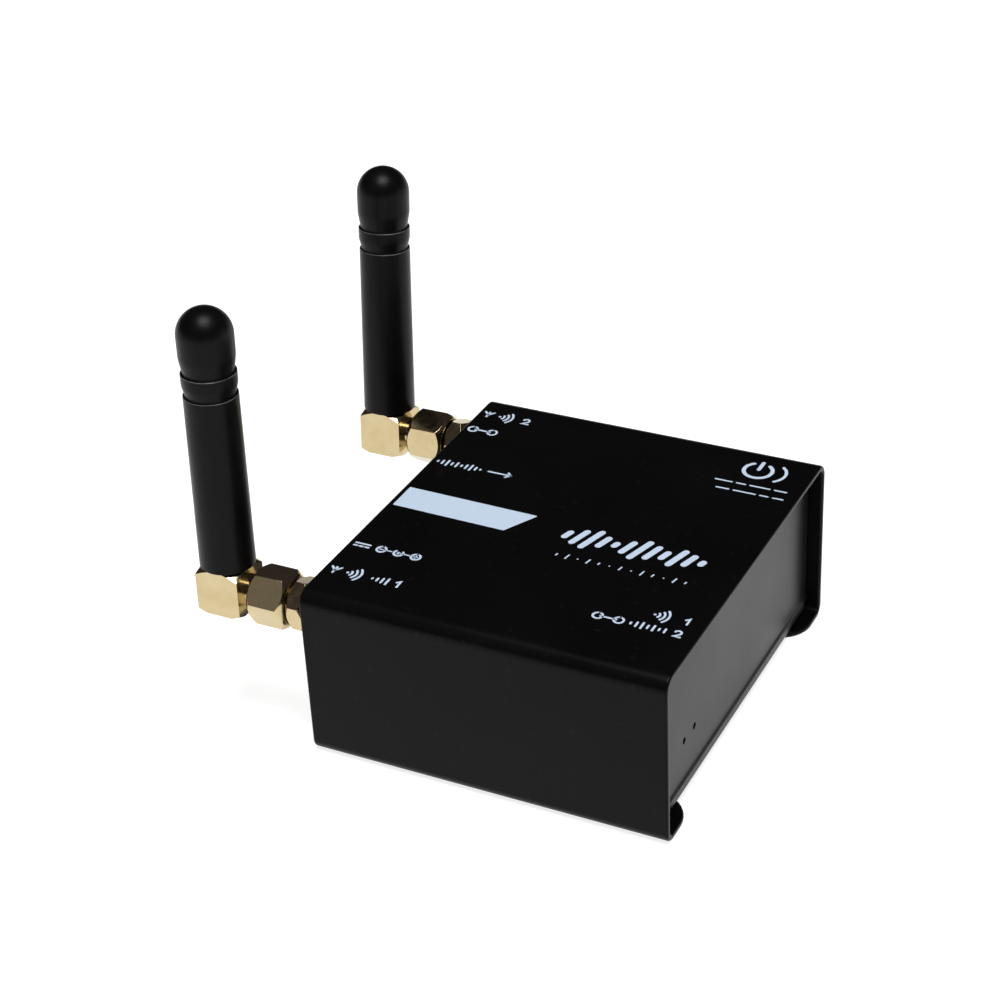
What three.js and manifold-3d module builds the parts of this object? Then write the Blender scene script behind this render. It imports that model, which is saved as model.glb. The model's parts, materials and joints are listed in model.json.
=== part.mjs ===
// A small wireless audio receiver: a bent sheet-steel case with two swivelling stub antennas.
//
// Millimetres, +X towards the front with the status lights, +Y to the left seen from the
// front, +Z up. The origin is the centre of the chassis pan's flat underside.

import * as THREE from 'three';
import { mergeVertices } from 'three/addons/utils/BufferGeometryUtils.js';
import Module from 'manifold-3d';

const wasm = await Module();
wasm.setup();

// ---------------------------------------------------------------- driving dimensions

const CASE_LENGTH = 57;
const CASE_WIDTH = 63.5;
const CASE_HEIGHT = 28;
const SHEET = 1;
const ROOF_BEND = 2.4; // outer radii of the cover's upper and lower bends
const LIP_BEND = 2;
const LIP_WIDTH = 10;
const LIP_CORNER = 5.3;

const FRONT_RECESS = 2.2; // cover edge to the outer face of the pan's front plate
const REAR_RECESS = 0.1;
const PAN_WIDTH = 60.8;
const PAN_HEIGHT = 25.4;
const PAN_BEND = 1.1;
const PAN_FOOT = { proud: 0.3, low: 2.17, high: 2.66 }; // the front plate's foot stands forward of it
const PAN_NOTCH = { width: 1.3, height: 2.2 }; // along the floor's edges, to clear the cover's bends

const BOARD_BOTTOM = 5;
const BOARD_THICKNESS = 1.6;
const BOARD_LENGTH = 50.5;
const BOARD_WIDTH = 53;
const BOARD_REAR_GAP = 0.5;

const JACK_Y = 25.6; // both antenna jacks, either side of the middle
const JACK_Z = 20.77;
const LIGHT_Y = [-16.6, -20.4];
const LIGHT_Z = 8.9;
const BUTTON_Y = 20.6;
const BUTTON_Z = 10.1;
const AUDIO_Y = 9.35;
const AUDIO_Z = 9.4;
const POWER_Y = -16.9;
const POWER_Z = 13.1;

// Antenna 1 is on the near side (-Y) and antenna 2 on the far side (+Y). Each leans a
// little towards +Y at rest, and its coupling nut stopped turning at its own angle.
const ANTENNAS = [
  { number: 1, y: -JACK_Y, washer: 0.9, lean: 2, nutCorner: 52.1 },
  { number: 2, y: JACK_Y, washer: 1.7, lean: 5, nutCorner: 18.5 },
];

// ---------------------------------------------------------------- derived places

const REAR_EDGE = -CASE_LENGTH / 2;
const FRONT_EDGE = CASE_LENGTH / 2;
const LIP_BOTTOM = -SHEET;
const CASE_TOP = CASE_HEIGHT - SHEET;
const PAN_REAR = REAR_EDGE + REAR_RECESS;
const PAN_FRONT = FRONT_EDGE - FRONT_RECESS;
const BOARD_TOP = BOARD_BOTTOM + BOARD_THICKNESS;
const BOARD_REAR = PAN_REAR + SHEET + BOARD_REAR_GAP;
const CLEARANCE = 0.05; // round a screw or pin in its hole
const TURNED_GAP = 0.3; // between pieces inside the leaning antennas
const OVER = 1; // how far a cutting shape runs past the surface that it cuts

const CASE_SCREW_PLACES = [[-12, -26], [12, -26], [-12, 26], [12, 26]];
const CASE_SCREW = { radius: 1.25, head: 2.15, headDepth: 0.9, length: 3.2 };
const COLLAR = { radius: 2.1, top: 2.2 }; // drawn up round each case screw's hole
const STANDOFF_PLACES = [[-17.5, -24], [19, -24], [-17.5, 24], [19, 24]];
const STANDOFF = { flats: 4.5, spigot: 1.55, spigotEnd: 0.1, bore: 1.25, boreDepth: 3.4 };
const BOARD_SCREW = { radius: 1.2, head: 2.2, headHeight: 1.3, headBevel: 0.5, length: 4.6, hole: 1.35 };
const RECESS = { width: 0.6, reach: 1.1, depth: 0.6 }; // the driver's cross in a screw's head

// Holes in the rear plate, and the lights' pinholes in the front one.
const HOLE = { jack: 3.25, button: 1.75, audio: 3.2, power: 4.3, light: 0.55 };

// Along an antenna's own axis, outwards from the shoulder that bears on the lock washer.
const JACK = {
  tailEnd: -9, threadStart: -5, boreStart: -4.5, hexStart: 0.4, hexEnd: 3.5, threadEnd: 7.9,
  tail: 2, thread: 3.1, lead: 0.3, shoulder: 3.5, flats: 7.2, hexCorner: 41, bevel: 0.3,
  mouth: 2.35, mouthDepth: 1.8, bore: 2, cableBore: 0.75,
};
const LOCK_WASHER = { outer: 4.25, inner: 3.25, opening: 0.7 };
const PANEL_NUT = { flats: 8, height: 2, bore: 3.2, bevel: 0.15, corner: 30 };
const NUT = { start: 3.65, end: 10, flats: 8, bore: 3.3, lipBore: 2.75, lip: 1.1, bevel: 0.35 };
const RING = { start: 8.35, width: 0.45, outer: 3.05, inner: 2.3, opening: 1.2, groove: 2.15, play: 0.1 };
const ELBOW = {
  centre: 15, side: 7.2, below: 3.35, above: 4, topEnd: 3.6, bottomEnd: 4.2, bevelSlope: 1.5, bevelReach: 6,
  neck: 2.55, neckEnd: 8.2, neckRoot: 13, tip: 2.2, tipEnd: 6.5,
  bore: 1.5, boreEnd: 16.2, spigot: 2.4, spigotTop: 7, wireWay: 1,
};
const WHIP = {
  bottom: 4.1, bottomRadius: 4.18, topRadius: 4.02, stepOne: 31.9, stepTwo: 35.4, rim: 0.1,
  band: 4.08, bandFoot: 4, cap: 4.15, capFoot: 4.03, waist: 3.76, domeCentre: 41.1, bore: 2.6,
};

// ---------------------------------------------------------------- colours

const POWDER_BLACK = { color: 0x17171a, roughness: 0.55, metalness: 0 };
const GOLD = { color: 0xd8b878, roughness: 0.25, metalness: 1 };
const STEEL = { color: 0x9a9ca0, roughness: 0.35, metalness: 1 };
const RUBBER = { color: 0x1b1b1c, roughness: 0.5, metalness: 0 };
const PTFE = { color: 0xe8e8e4, roughness: 0.6, metalness: 0 };
const SOLDER_MASK = { color: 0x123a22, roughness: 0.5, metalness: 0 };
const BLACK_PLASTIC = { color: 0x101012, roughness: 0.4, metalness: 0 };
const LIGHT_LENS = { color: 0xdfe6ee, roughness: 0.2, metalness: 0 };
const ALUMINIUM = { color: 0xb9bcc0, roughness: 0.4, metalness: 1 };
const CABLE_JACKET = { color: 0x8a6a3a, roughness: 0.5, metalness: 0 };

// ---------------------------------------------------------------- building blocks

const degrees = THREE.MathUtils.degToRad;

// The geometry with shared corners merged, as a solid that can be cut and joined.
function solid(geometry) {
  const bare = new THREE.BufferGeometry();
  const flat = geometry.index ? geometry.toNonIndexed() : geometry;
  bare.setAttribute('position', flat.getAttribute('position').clone());
  const merged = mergeVertices(bare, 1e-4);
  const corners = merged.index.array;
  const kept = [];
  for (let i = 0; i < corners.length; i += 3) {
    const [a, b, c] = [corners[i], corners[i + 1], corners[i + 2]];
    if (a !== b && b !== c && c !== a) kept.push(a, b, c);
  }
  return new wasm.Manifold(new wasm.Mesh({
    numProp: 3,
    vertProperties: merged.attributes.position.array,
    triVerts: new Uint32Array(kept),
  }));
}

function geometryOf(manifold) {
  const mesh = manifold.getMesh();
  const geometry = new THREE.BufferGeometry();
  geometry.setAttribute('position', new THREE.BufferAttribute(mesh.vertProperties.slice(), 3));
  geometry.setIndex(new THREE.BufferAttribute(mesh.triVerts.slice(), 1));
  geometry.computeVertexNormals();
  return geometry;
}

const cut = (base, ...tools) =>
  geometryOf(tools.reduce((left, tool) => left.subtract(solid(tool)), solid(base)));
const join = (base, ...others) =>
  geometryOf(others.reduce((whole, other) => whole.add(solid(other)), solid(base)));
const common = (a, b) => geometryOf(solid(a).intersect(solid(b)));

// A block between two opposite corners.
function block([x0, y0, z0], [x1, y1, z1]) {
  return new THREE.BoxGeometry(x1 - x0, y1 - y0, z1 - z0)
    .translate((x0 + x1) / 2, (y0 + y1) / 2, (z0 + z1) / 2);
}

// A profile of [radius, height] points turned about the Z axis.
function turned(profile, sides = 16) {
  const points = profile.map(([radius, height]) => new THREE.Vector2(radius, height));
  return new THREE.LatheGeometry(points, sides).rotateX(Math.PI / 2);
}

// A plain rod along Z, and the same shape for the holes that rods go in.
function rod(radius, low, high, sides = 16) {
  return turned([[0, low], [radius, low], [radius, high], [0, high]], sides);
}

// A tube along Z.
function tube(outer, inner, low, high, sides = 16) {
  return turned([[inner, low], [outer, low], [outer, high], [inner, high], [inner, low]], sides);
}

// The points of a dome's profile, from its edge at the given height up to the axis.
function quarterRound(radius, height, steps) {
  return Array.from({ length: steps + 1 }, (_, i) => {
    const angle = Math.PI / 2 * (i / steps);
    return [i === steps ? 0 : radius * Math.cos(angle), height + radius * Math.sin(angle)];
  });
}

const alongX = (geometry) => geometry.rotateY(Math.PI / 2);

// A hexagonal bar along Z; corner is the angle of one of its corners from +Y towards +X.
function hexBar(flats, low, high, corner = 0) {
  const shape = new THREE.Shape(Array.from({ length: 6 }, (_, i) => {
    const angle = Math.PI / 2 - degrees(corner + 60 * i);
    const radius = flats / Math.sqrt(3);
    return new THREE.Vector2(radius * Math.cos(angle), radius * Math.sin(angle));
  }));
  return new THREE.ExtrudeGeometry(shape, { depth: high - low, bevelEnabled: false })
    .translate(0, 0, low);
}

// A hexagonal bar with its corners turned off at both ends, as a nut is.
function turnedHex(flats, low, high, corner, bevel) {
  const ends = flats / 2 - bevel;
  const reach = flats / Math.sqrt(3) - ends + CLEARANCE;
  const barrel = turned([
    [0, low], [ends, low], [ends + reach, low + reach], [ends + reach, high - reach],
    [ends, high], [0, high],
  ], 24);
  return common(hexBar(flats, low, high, corner), barrel);
}

// An outline in the YZ plane pushed along X.
function pushedAlongX(shape, low, high) {
  const geometry = new THREE.ExtrudeGeometry(shape, {
    depth: high - low, bevelEnabled: false, curveSegments: 5,
  });
  const turn = new THREE.Matrix4().makeBasis(
    new THREE.Vector3(0, 1, 0), new THREE.Vector3(0, 0, 1), new THREE.Vector3(1, 0, 0));
  return geometry.applyMatrix4(turn).translate(low, 0, 0);
}

// An outline in the XZ plane pushed to both sides of it along Y.
function pushedAlongY(shape, width) {
  const geometry = new THREE.ExtrudeGeometry(shape, {
    depth: width, bevelEnabled: false, curveSegments: 5,
  });
  return geometry.rotateX(Math.PI / 2).translate(0, width / 2, 0);
}

// A wire of a round section along a curve.
function cable(path, radius, sides, steps) {
  const section = new THREE.Shape(Array.from({ length: sides }, (_, i) => {
    const angle = 2 * Math.PI * i / sides;
    return new THREE.Vector2(radius * Math.cos(angle), radius * Math.sin(angle));
  }));
  return new THREE.ExtrudeGeometry(section, { steps, bevelEnabled: false, extrudePath: path });
}

// What has to be cut away to round a right-angled corner whose metal lies towards +X +Y.
function cornerWaste(radius, low, high) {
  const shape = new THREE.Shape();
  shape.moveTo(-OVER, -OVER);
  shape.lineTo(radius, -OVER);
  shape.lineTo(radius, 0);
  shape.absarc(radius, radius, radius, -Math.PI / 2, -Math.PI, true);
  shape.lineTo(-OVER, radius);
  shape.closePath();
  return new THREE.ExtrudeGeometry(shape, {
    depth: high - low, bevelEnabled: false, curveSegments: 8,
  }).translate(0, 0, low);
}

const root = new THREE.Group();

function piece(name, geometry, look, group = root) {
  const mesh = new THREE.Mesh(geometry, new THREE.MeshStandardMaterial(look));
  mesh.name = name;
  group.add(mesh);
  return mesh;
}

// ---------------------------------------------------------------- case

// One strip of sheet bent into a channel: the roof, two sides and two lips underneath.
function coverOutline() {
  const side = CASE_WIDTH / 2;
  const lipEdge = side - LIP_WIDTH;
  const outer = side - LIP_BEND;
  const inner = LIP_BEND - SHEET;
  const low = LIP_BOTTOM + LIP_BEND;
  const roofEdge = side - ROOF_BEND;
  const roofInner = ROOF_BEND - SHEET;
  const high = CASE_TOP - ROOF_BEND;
  const shape = new THREE.Shape();
  shape.moveTo(lipEdge, LIP_BOTTOM);
  shape.lineTo(outer, LIP_BOTTOM);
  shape.absarc(outer, low, LIP_BEND, -Math.PI / 2, 0, false);
  shape.absarc(roofEdge, high, ROOF_BEND, 0, Math.PI / 2, false);
  shape.absarc(-roofEdge, high, ROOF_BEND, Math.PI / 2, Math.PI, false);
  shape.absarc(-outer, low, LIP_BEND, Math.PI, 1.5 * Math.PI, false);
  shape.lineTo(-lipEdge, LIP_BOTTOM);
  shape.lineTo(-lipEdge, 0);
  shape.absarc(-outer, low, inner, 1.5 * Math.PI, Math.PI, true);
  shape.absarc(-roofEdge, high, roofInner, Math.PI, Math.PI / 2, true);
  shape.absarc(roofEdge, high, roofInner, Math.PI / 2, 0, true);
  shape.absarc(outer, low, inner, 0, -Math.PI / 2, true);
  shape.lineTo(lipEdge, 0);
  shape.closePath();
  return shape;
}

// What rounds one free corner of a lip, seen from above.
function lipCornerWaste(atFront, atLeft) {
  const quarterTurns = atLeft ? Number(atFront) : 3 - Number(atFront);
  const waste = cornerWaste(LIP_CORNER, LIP_BOTTOM - OVER, OVER)
    .rotateZ(quarterTurns * Math.PI / 2);
  const edge = CASE_WIDTH / 2 - LIP_WIDTH;
  return waste.translate(atFront ? FRONT_EDGE : REAR_EDGE, atLeft ? edge : -edge, 0);
}

function countersink(grow) {
  const { radius, head, headDepth } = CASE_SCREW;
  return [[0, LIP_BOTTOM], [head + grow, LIP_BOTTOM], [radius + grow, LIP_BOTTOM + headDepth]];
}

function cover() {
  const { radius, head } = CASE_SCREW;
  const sinks = CASE_SCREW_PLACES.map(([x, y]) => {
    const outline = [[0, LIP_BOTTOM - OVER], [head + CLEARANCE, LIP_BOTTOM - OVER],
      ...countersink(CLEARANCE).slice(1), [radius + CLEARANCE, OVER], [0, OVER]];
    return turned(outline).translate(x, y, 0);
  });
  const corners = [false, true].flatMap((front) => [false, true].map((left) =>
    lipCornerWaste(front, left)));
  return cut(pushedAlongX(coverOutline(), REAR_EDGE, FRONT_EDGE), ...corners, ...sinks);
}

// The pan's floor, with a plate turned up at the front and one at the rear.
function panOutline() {
  const { proud, low, high } = PAN_FOOT;
  const inner = PAN_BEND - SHEET;
  const rear = PAN_REAR + PAN_BEND;
  const foot = PAN_FRONT + proud;
  const front = foot - PAN_BEND;
  const shape = new THREE.Shape();
  shape.moveTo(rear, 0);
  shape.lineTo(front, 0);
  shape.absarc(front, PAN_BEND, PAN_BEND, -Math.PI / 2, 0, false);
  shape.lineTo(foot, low);
  shape.lineTo(PAN_FRONT, high);
  shape.lineTo(PAN_FRONT, PAN_HEIGHT);
  shape.lineTo(PAN_FRONT - SHEET, PAN_HEIGHT);
  shape.lineTo(PAN_FRONT - SHEET, high);
  shape.lineTo(foot - SHEET, low);
  shape.absarc(front, PAN_BEND, inner, 0, -Math.PI / 2, true);
  shape.lineTo(rear, SHEET);
  shape.absarc(rear, PAN_BEND, inner, -Math.PI / 2, -Math.PI, true);
  shape.lineTo(PAN_REAR + SHEET, PAN_HEIGHT);
  shape.lineTo(PAN_REAR, PAN_HEIGHT);
  shape.absarc(rear, PAN_BEND, PAN_BEND, -Math.PI, -Math.PI / 2, false);
  shape.closePath();
  return shape;
}

function panNotches() {
  const half = PAN_WIDTH / 2;
  const inner = half - PAN_NOTCH.width;
  return [block([REAR_EDGE, inner, -OVER], [FRONT_EDGE, half + OVER, PAN_NOTCH.height]),
    block([REAR_EDGE, -half - OVER, -OVER], [FRONT_EDGE, -inner, PAN_NOTCH.height])];
}

function panHoles() {
  const depth = 2 * SHEET;
  const inPlate = (radius, x, y, z) => alongX(rod(radius, -depth, depth)).translate(x, y, z);
  const inFloor = (radius, [x, y]) => rod(radius, -depth, COLLAR.top + OVER, 12).translate(x, y, 0);
  return [
    ...ANTENNAS.map(({ y }) => inPlate(HOLE.jack, PAN_REAR, y, JACK_Z)),
    inPlate(HOLE.button, PAN_REAR, BUTTON_Y, BUTTON_Z),
    inPlate(HOLE.audio, PAN_REAR, AUDIO_Y, AUDIO_Z),
    inPlate(HOLE.power, PAN_REAR, POWER_Y, POWER_Z),
    ...LIGHT_Y.map((y) => inPlate(HOLE.light, PAN_FRONT, y, LIGHT_Z)),
    ...STANDOFF_PLACES.map((place) => inFloor(STANDOFF.spigot + CLEARANCE, place)),
    ...CASE_SCREW_PLACES.map((place) => inFloor(CASE_SCREW.radius + CLEARANCE, place)),
  ];
}

// The stretch of floor between the cover's lips is joined on as a strip of its own, so that
// its underside is a face by itself, clear of the lips.
function chassisPan() {
  const between = (CASE_WIDTH - 2 * LIP_WIDTH) / 2;
  const beside = (PAN_WIDTH / 2 - between) / 2;
  const strips = [-1, 1].map((side) =>
    pushedAlongY(panOutline(), 2 * beside).translate(0, side * (between + beside), 0));
  const collars = CASE_SCREW_PLACES.map(([x, y]) =>
    rod(COLLAR.radius, SHEET / 2, COLLAR.top, 12).translate(x, y, 0));
  const folded = join(pushedAlongY(panOutline(), 2 * between), ...strips, ...collars);
  return cut(folded, ...panNotches(), ...panHoles());
}

// The cross in a screw's head, between two heights.
function driverRecess(low, high) {
  const { width, reach } = RECESS;
  const half = width / 2;
  return [block([-reach, -half, low], [reach, half, high]), block([-half, -reach, low], [half, reach, high])];
}

function caseScrew() {
  const { radius, length } = CASE_SCREW;
  const shank = turned([...countersink(0), [radius, LIP_BOTTOM + length], [0, LIP_BOTTOM + length]], 12);
  return cut(shank, ...driverRecess(LIP_BOTTOM - OVER, LIP_BOTTOM + RECESS.depth));
}

// ---------------------------------------------------------------- main board and its screws

function mainBoard() {
  const half = BOARD_WIDTH / 2;
  const plate = block([BOARD_REAR, -half, BOARD_BOTTOM], [BOARD_REAR + BOARD_LENGTH, half, BOARD_TOP]);
  const holes = STANDOFF_PLACES.map(([x, y]) =>
    rod(BOARD_SCREW.hole, BOARD_BOTTOM - OVER, BOARD_TOP + OVER, 12).translate(x, y, 0));
  return cut(plate, ...holes);
}

function standoff() {
  const { flats, spigot, spigotEnd, bore, boreDepth } = STANDOFF;
  const post = join(hexBar(flats, SHEET, BOARD_BOTTOM), rod(spigot, spigotEnd, 1.5 * SHEET, 12));
  return cut(post, rod(bore, BOARD_BOTTOM - boreDepth, BOARD_BOTTOM + OVER, 12));
}

function boardScrew() {
  const { radius, head, headHeight, headBevel, length } = BOARD_SCREW;
  const top = BOARD_TOP + headHeight;
  const outline = [[0, BOARD_TOP - length], [radius, BOARD_TOP - length], [radius, BOARD_TOP],
    [head, BOARD_TOP], [head, top - headBevel], [head - headBevel, top], [0, top]];
  return cut(turned(outline, 12), ...driverRecess(top - RECESS.depth, top + OVER));
}

// ---------------------------------------------------------------- electronics

const MODULE = { x: 0, length: 18, width: 23, thickness: 1 };
const SHIELD = { x: 4.6, length: 12.6, width: 20, height: 2.2, wall: 0.3 };
const SOCKET = { x: 2.3, y: 8.5, radius: 1, height: 0.8 };
const PLUG = { radius: 1.5, seat: 1.1, top: 0.8, arm: 2.6, armWidth: 1.9, armDrop: 0.5, cableWay: 0.7 };
const MODULE_TOP = BOARD_TOP + MODULE.thickness;
const SOCKET_TOP = MODULE_TOP + SOCKET.height;
const PIGTAIL_RADIUS = 0.57;
const PIGTAIL_LOW = SOCKET_TOP + 0.1; // the cable's axis where it enters its plug

function wirelessModule() {
  return block([MODULE.x, -MODULE.width / 2, BOARD_TOP],
    [MODULE.x + MODULE.length, MODULE.width / 2, MODULE_TOP]);
}

// A pressed lid, open underneath.
function moduleShield() {
  const { x, length, width, height, wall } = SHIELD;
  const lid = block([x, -width / 2, MODULE_TOP], [x + length, width / 2, MODULE_TOP + height]);
  const hollow = block([x + wall, -width / 2 + wall, MODULE_TOP - OVER],
    [x + length - wall, width / 2 - wall, MODULE_TOP + height - wall]);
  return cut(lid, hollow);
}

const moduleSocket = () => rod(SOCKET.radius, MODULE_TOP, SOCKET_TOP, 12);

// The snap-on cap at the board end of a pigtail, with the arm that its cable leaves by.
function pigtailPlug() {
  const { radius, seat, top, arm, armWidth, armDrop, cableWay } = PLUG;
  const cap = rod(radius, MODULE_TOP + 2 * CLEARANCE, SOCKET_TOP + top, 12);
  const neck = block([-arm, -armWidth / 2, SOCKET_TOP - armDrop], [0, armWidth / 2, SOCKET_TOP + top]);
  const socketWay = rod(seat, MODULE_TOP - OVER, SOCKET_TOP + 2 * CLEARANCE, 12);
  const way = alongX(rod(cableWay, -arm - OVER, -radius, 12)).translate(0, 0, PIGTAIL_LOW);
  return cut(join(cap, neck), socketWay, way);
}

const LEG = { reach: 1, height: 0.5, lift: 0.1 };

// A flat package with a row of short legs along two sides.
function legged([x0, y0], [x1, y1], height, legs) {
  const body = block([x0, y0, BOARD_TOP + LEG.lift], [x1, y1, BOARD_TOP + height]);
  const pitch = (x1 - x0) / legs;
  const feet = Array.from({ length: legs }, (_, i) => {
    const x = x0 + pitch * (i + 0.5);
    return block([x - pitch / 4, y0 - LEG.reach, BOARD_TOP],
      [x + pitch / 4, y1 + LEG.reach, BOARD_TOP + LEG.height]);
  });
  return join(body, ...feet);
}

const INDUCTOR = { half: 3, base: 0.6, drum: 2.9, height: 3.3, bevel: 0.35 };

// A drum-shaped choke on a square base.
function powerInductor() {
  const { half, base, drum, height, bevel } = INDUCTOR;
  const foot = block([-half, -half, BOARD_TOP], [half, half, BOARD_TOP + base]);
  const top = BOARD_TOP + height;
  return join(foot, turned([[0, BOARD_TOP + base / 2], [drum, BOARD_TOP + base / 2],
    [drum, top - bevel], [drum - bevel, top], [0, top]]));
}

const CAPACITOR = { radius: 3.15, height: 7.5, bevel: 0.3, crimp: 1.5, crimpHalf: 0.5 };

// An upright electrolytic can with a crimp groove near its foot.
function supplyCapacitor() {
  const { radius, height, bevel, crimp, crimpHalf } = CAPACITOR;
  const groove = BOARD_TOP + crimp;
  const top = BOARD_TOP + height;
  return turned([[0, BOARD_TOP], [radius - bevel / 2, BOARD_TOP], [radius, groove - crimpHalf],
    [radius - bevel, groove], [radius, groove + crimpHalf], [radius, top - bevel],
    [radius - bevel, top], [0, top]]);
}

const AUDIO = { barrel: 3, bore: 1.8, proud: 0.3, front: -14.8, half: 3, above: 2.9, boreEnd: -16.5 };

function audioJackHousing() {
  const { half, front, above, bore, boreEnd } = AUDIO;
  const back = PAN_REAR + SHEET + 2 * CLEARANCE;
  const box = block([back, AUDIO_Y - half, BOARD_TOP], [front, AUDIO_Y + half, AUDIO_Z + above]);
  return cut(box, alongX(rod(bore, back - OVER, boreEnd)).translate(0, AUDIO_Y, AUDIO_Z));
}

// The bush round the jack's mouth, in the rear plate.
function audioJackBarrel() {
  const { barrel, bore, proud } = AUDIO;
  return alongX(tube(barrel, bore, PAN_REAR - proud, PAN_REAR + SHEET)).translate(0, AUDIO_Y, AUDIO_Z);
}

const POWER = {
  half: 4.5, height: 11, depth: 14, mouth: 3.9, bore: 3.15, boreDepth: 9.5,
  pin: 1.05, pinBevel: 0.35, pinStart: 1.2, pinRoot: 1.5,
};

function powerJackHousing() {
  const { half, height, depth, mouth, bore, boreDepth, pin, pinRoot } = POWER;
  const face = PAN_REAR + SHEET;
  const box = block([face + CLEARANCE, POWER_Y - half, BOARD_TOP],
    [face + depth, POWER_Y + half, BOARD_TOP + height]);
  const alongMouth = (radius, low, high) => alongX(rod(radius, low, high)).translate(0, POWER_Y, POWER_Z);
  const nose = alongMouth(mouth, PAN_REAR, face + SHEET);
  const way = alongMouth(bore, PAN_REAR - OVER, PAN_REAR + boreDepth);
  const pinWay = alongMouth(pin + CLEARANCE, PAN_REAR, PAN_REAR + boreDepth + pinRoot + 2 * CLEARANCE);
  return cut(join(box, nose), way, pinWay);
}

function powerJackPin() {
  const { pin, pinBevel, pinStart, pinRoot, boreDepth } = POWER;
  const tip = PAN_REAR + pinStart;
  const end = PAN_REAR + boreDepth + pinRoot;
  const outline = [[0, tip], [pin - pinBevel, tip], [pin, tip + pinBevel], [pin, end], [0, end]];
  return alongX(turned(outline)).translate(0, POWER_Y, POWER_Z);
}

const BUTTON = { radius: 1.5, flange: 1.9, bevel: 0.25, proud: 1.6, travel: 0.5 };
const SWITCH = { half: 3, depth: 5, gap: 0.4, well: 2.1, wellDepth: 2.6 };

function pairingSwitchHousing() {
  const { half, depth, gap, well, wellDepth } = SWITCH;
  const face = PAN_REAR + SHEET + gap;
  const box = block([face, BUTTON_Y - half, BOARD_TOP], [face + depth, BUTTON_Y + half, BUTTON_Z + half]);
  return cut(box, alongX(rod(well, face - OVER, face + wellDepth)).translate(0, BUTTON_Y, BUTTON_Z));
}

// The plunger: a round tip that stands out of the rear plate, on a wider foot that sits in
// the switch and can't pass the plate.
function pairingButton() {
  const { radius, flange, bevel, proud, travel } = BUTTON;
  const tip = PAN_REAR - proud;
  const step = PAN_REAR + SHEET + 2 * CLEARANCE;
  const foot = PAN_REAR + SHEET + SWITCH.gap + SWITCH.wellDepth - travel - 2 * CLEARANCE;
  const outline = [[0, tip], [radius - bevel, tip], [radius, tip + bevel], [radius, step],
    [flange, step], [flange, foot], [0, foot]];
  return alongX(turned(outline)).translate(0, BUTTON_Y, BUTTON_Z);
}

const LIGHT = { lens: 1.3, lensFoot: 0.5, base: 1.5, baseDepth: 2.2, gap: 0.3, domeSteps: 3 };

// A side-facing light: a base on the board with a domed lens against the pinhole.
function statusLight() {
  const { lens, lensFoot, base, baseDepth, gap, domeSteps } = LIGHT;
  const rim = PAN_FRONT - SHEET - gap - lens;
  const foot = block([rim - baseDepth, -base, BOARD_TOP], [rim, base, LIGHT_Z + base]);
  const profile = [[0, rim - lensFoot], [lens, rim - lensFoot], ...quarterRound(lens, rim, domeSteps)];
  return join(foot, alongX(turned(profile, 12)).translate(0, 0, LIGHT_Z));
}

// ---------------------------------------------------------------- antenna jacks

function jackBody() {
  const j = JACK;
  const barrel = turned([
    [0, j.tailEnd], [j.tail, j.tailEnd], [j.tail, j.threadStart], [j.thread, j.threadStart],
    [j.thread, 0], [j.shoulder, 0], [j.shoulder, j.hexStart + j.bevel], [j.thread, j.hexEnd],
    [j.thread, j.threadEnd - j.lead], [j.thread - j.lead, j.threadEnd], [0, j.threadEnd],
  ], 20);
  const whole = join(barrel, turnedHex(j.flats, j.hexStart, j.hexEnd, j.hexCorner, j.bevel));
  const mouthStart = j.threadEnd - j.mouthDepth;
  const way = turned([
    [0, j.tailEnd - OVER], [j.cableBore, j.tailEnd - OVER], [j.cableBore, j.boreStart],
    [j.bore, j.boreStart], [j.bore, mouthStart], [j.mouth, mouthStart],
    [j.mouth, j.threadEnd + OVER], [0, j.threadEnd + OVER],
  ]);
  return cut(whole, way);
}

const CONTACT = { radius: 0.65, bore: 0.55, boreDepth: 2.6, start: -4, end: 5.8 };

function jackContact() {
  const { radius, bore, boreDepth, start, end } = CONTACT;
  return turned([[0, start], [radius, start], [radius, end], [bore, end], [bore, end - boreDepth],
    [0, end - boreDepth]], 12);
}

const jackInsulator = () =>
  tube(JACK.bore - CLEARANCE, CONTACT.radius + CLEARANCE, CONTACT.start, CONTACT.end);

// A spring washer, split so that its ends bite.
function lockWasher(thickness) {
  const { outer, inner, opening } = LOCK_WASHER;
  const slot = block([0, -opening / 2, -thickness - OVER], [outer + OVER, opening / 2, OVER]);
  return cut(tube(outer, inner, -thickness, 0, 20), slot);
}

function panelNut(washer) {
  const { flats, height, bore, bevel, corner } = PANEL_NUT;
  const face = -washer - SHEET;
  const nut = turnedHex(flats, face - height, face, corner, bevel);
  return cut(nut, rod(bore, face - height - OVER, face + OVER));
}

// ---------------------------------------------------------------- antennas

// Here +Z runs outwards along the jack's axis and +X up along the whip.

function couplingNut(corner) {
  const { start, end, flats, bore, lipBore, lip, bevel } = NUT;
  const way = turned([[0, start - OVER], [bore, start - OVER], [bore, end - lip], [lipBore, end - lip],
    [lipBore, end + OVER], [0, end + OVER]], 20);
  return cut(turnedHex(flats, start, end, corner, bevel), way);
}

// The open wire ring that keeps the coupling nut on the neck.
function retainingRing() {
  const { start, width, outer, inner, opening } = RING;
  const gap = block([-outer - OVER, -opening / 2, start - OVER], [0, opening / 2, start + width + OVER]);
  return cut(tube(outer, inner, start, start + width), gap);
}

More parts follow.
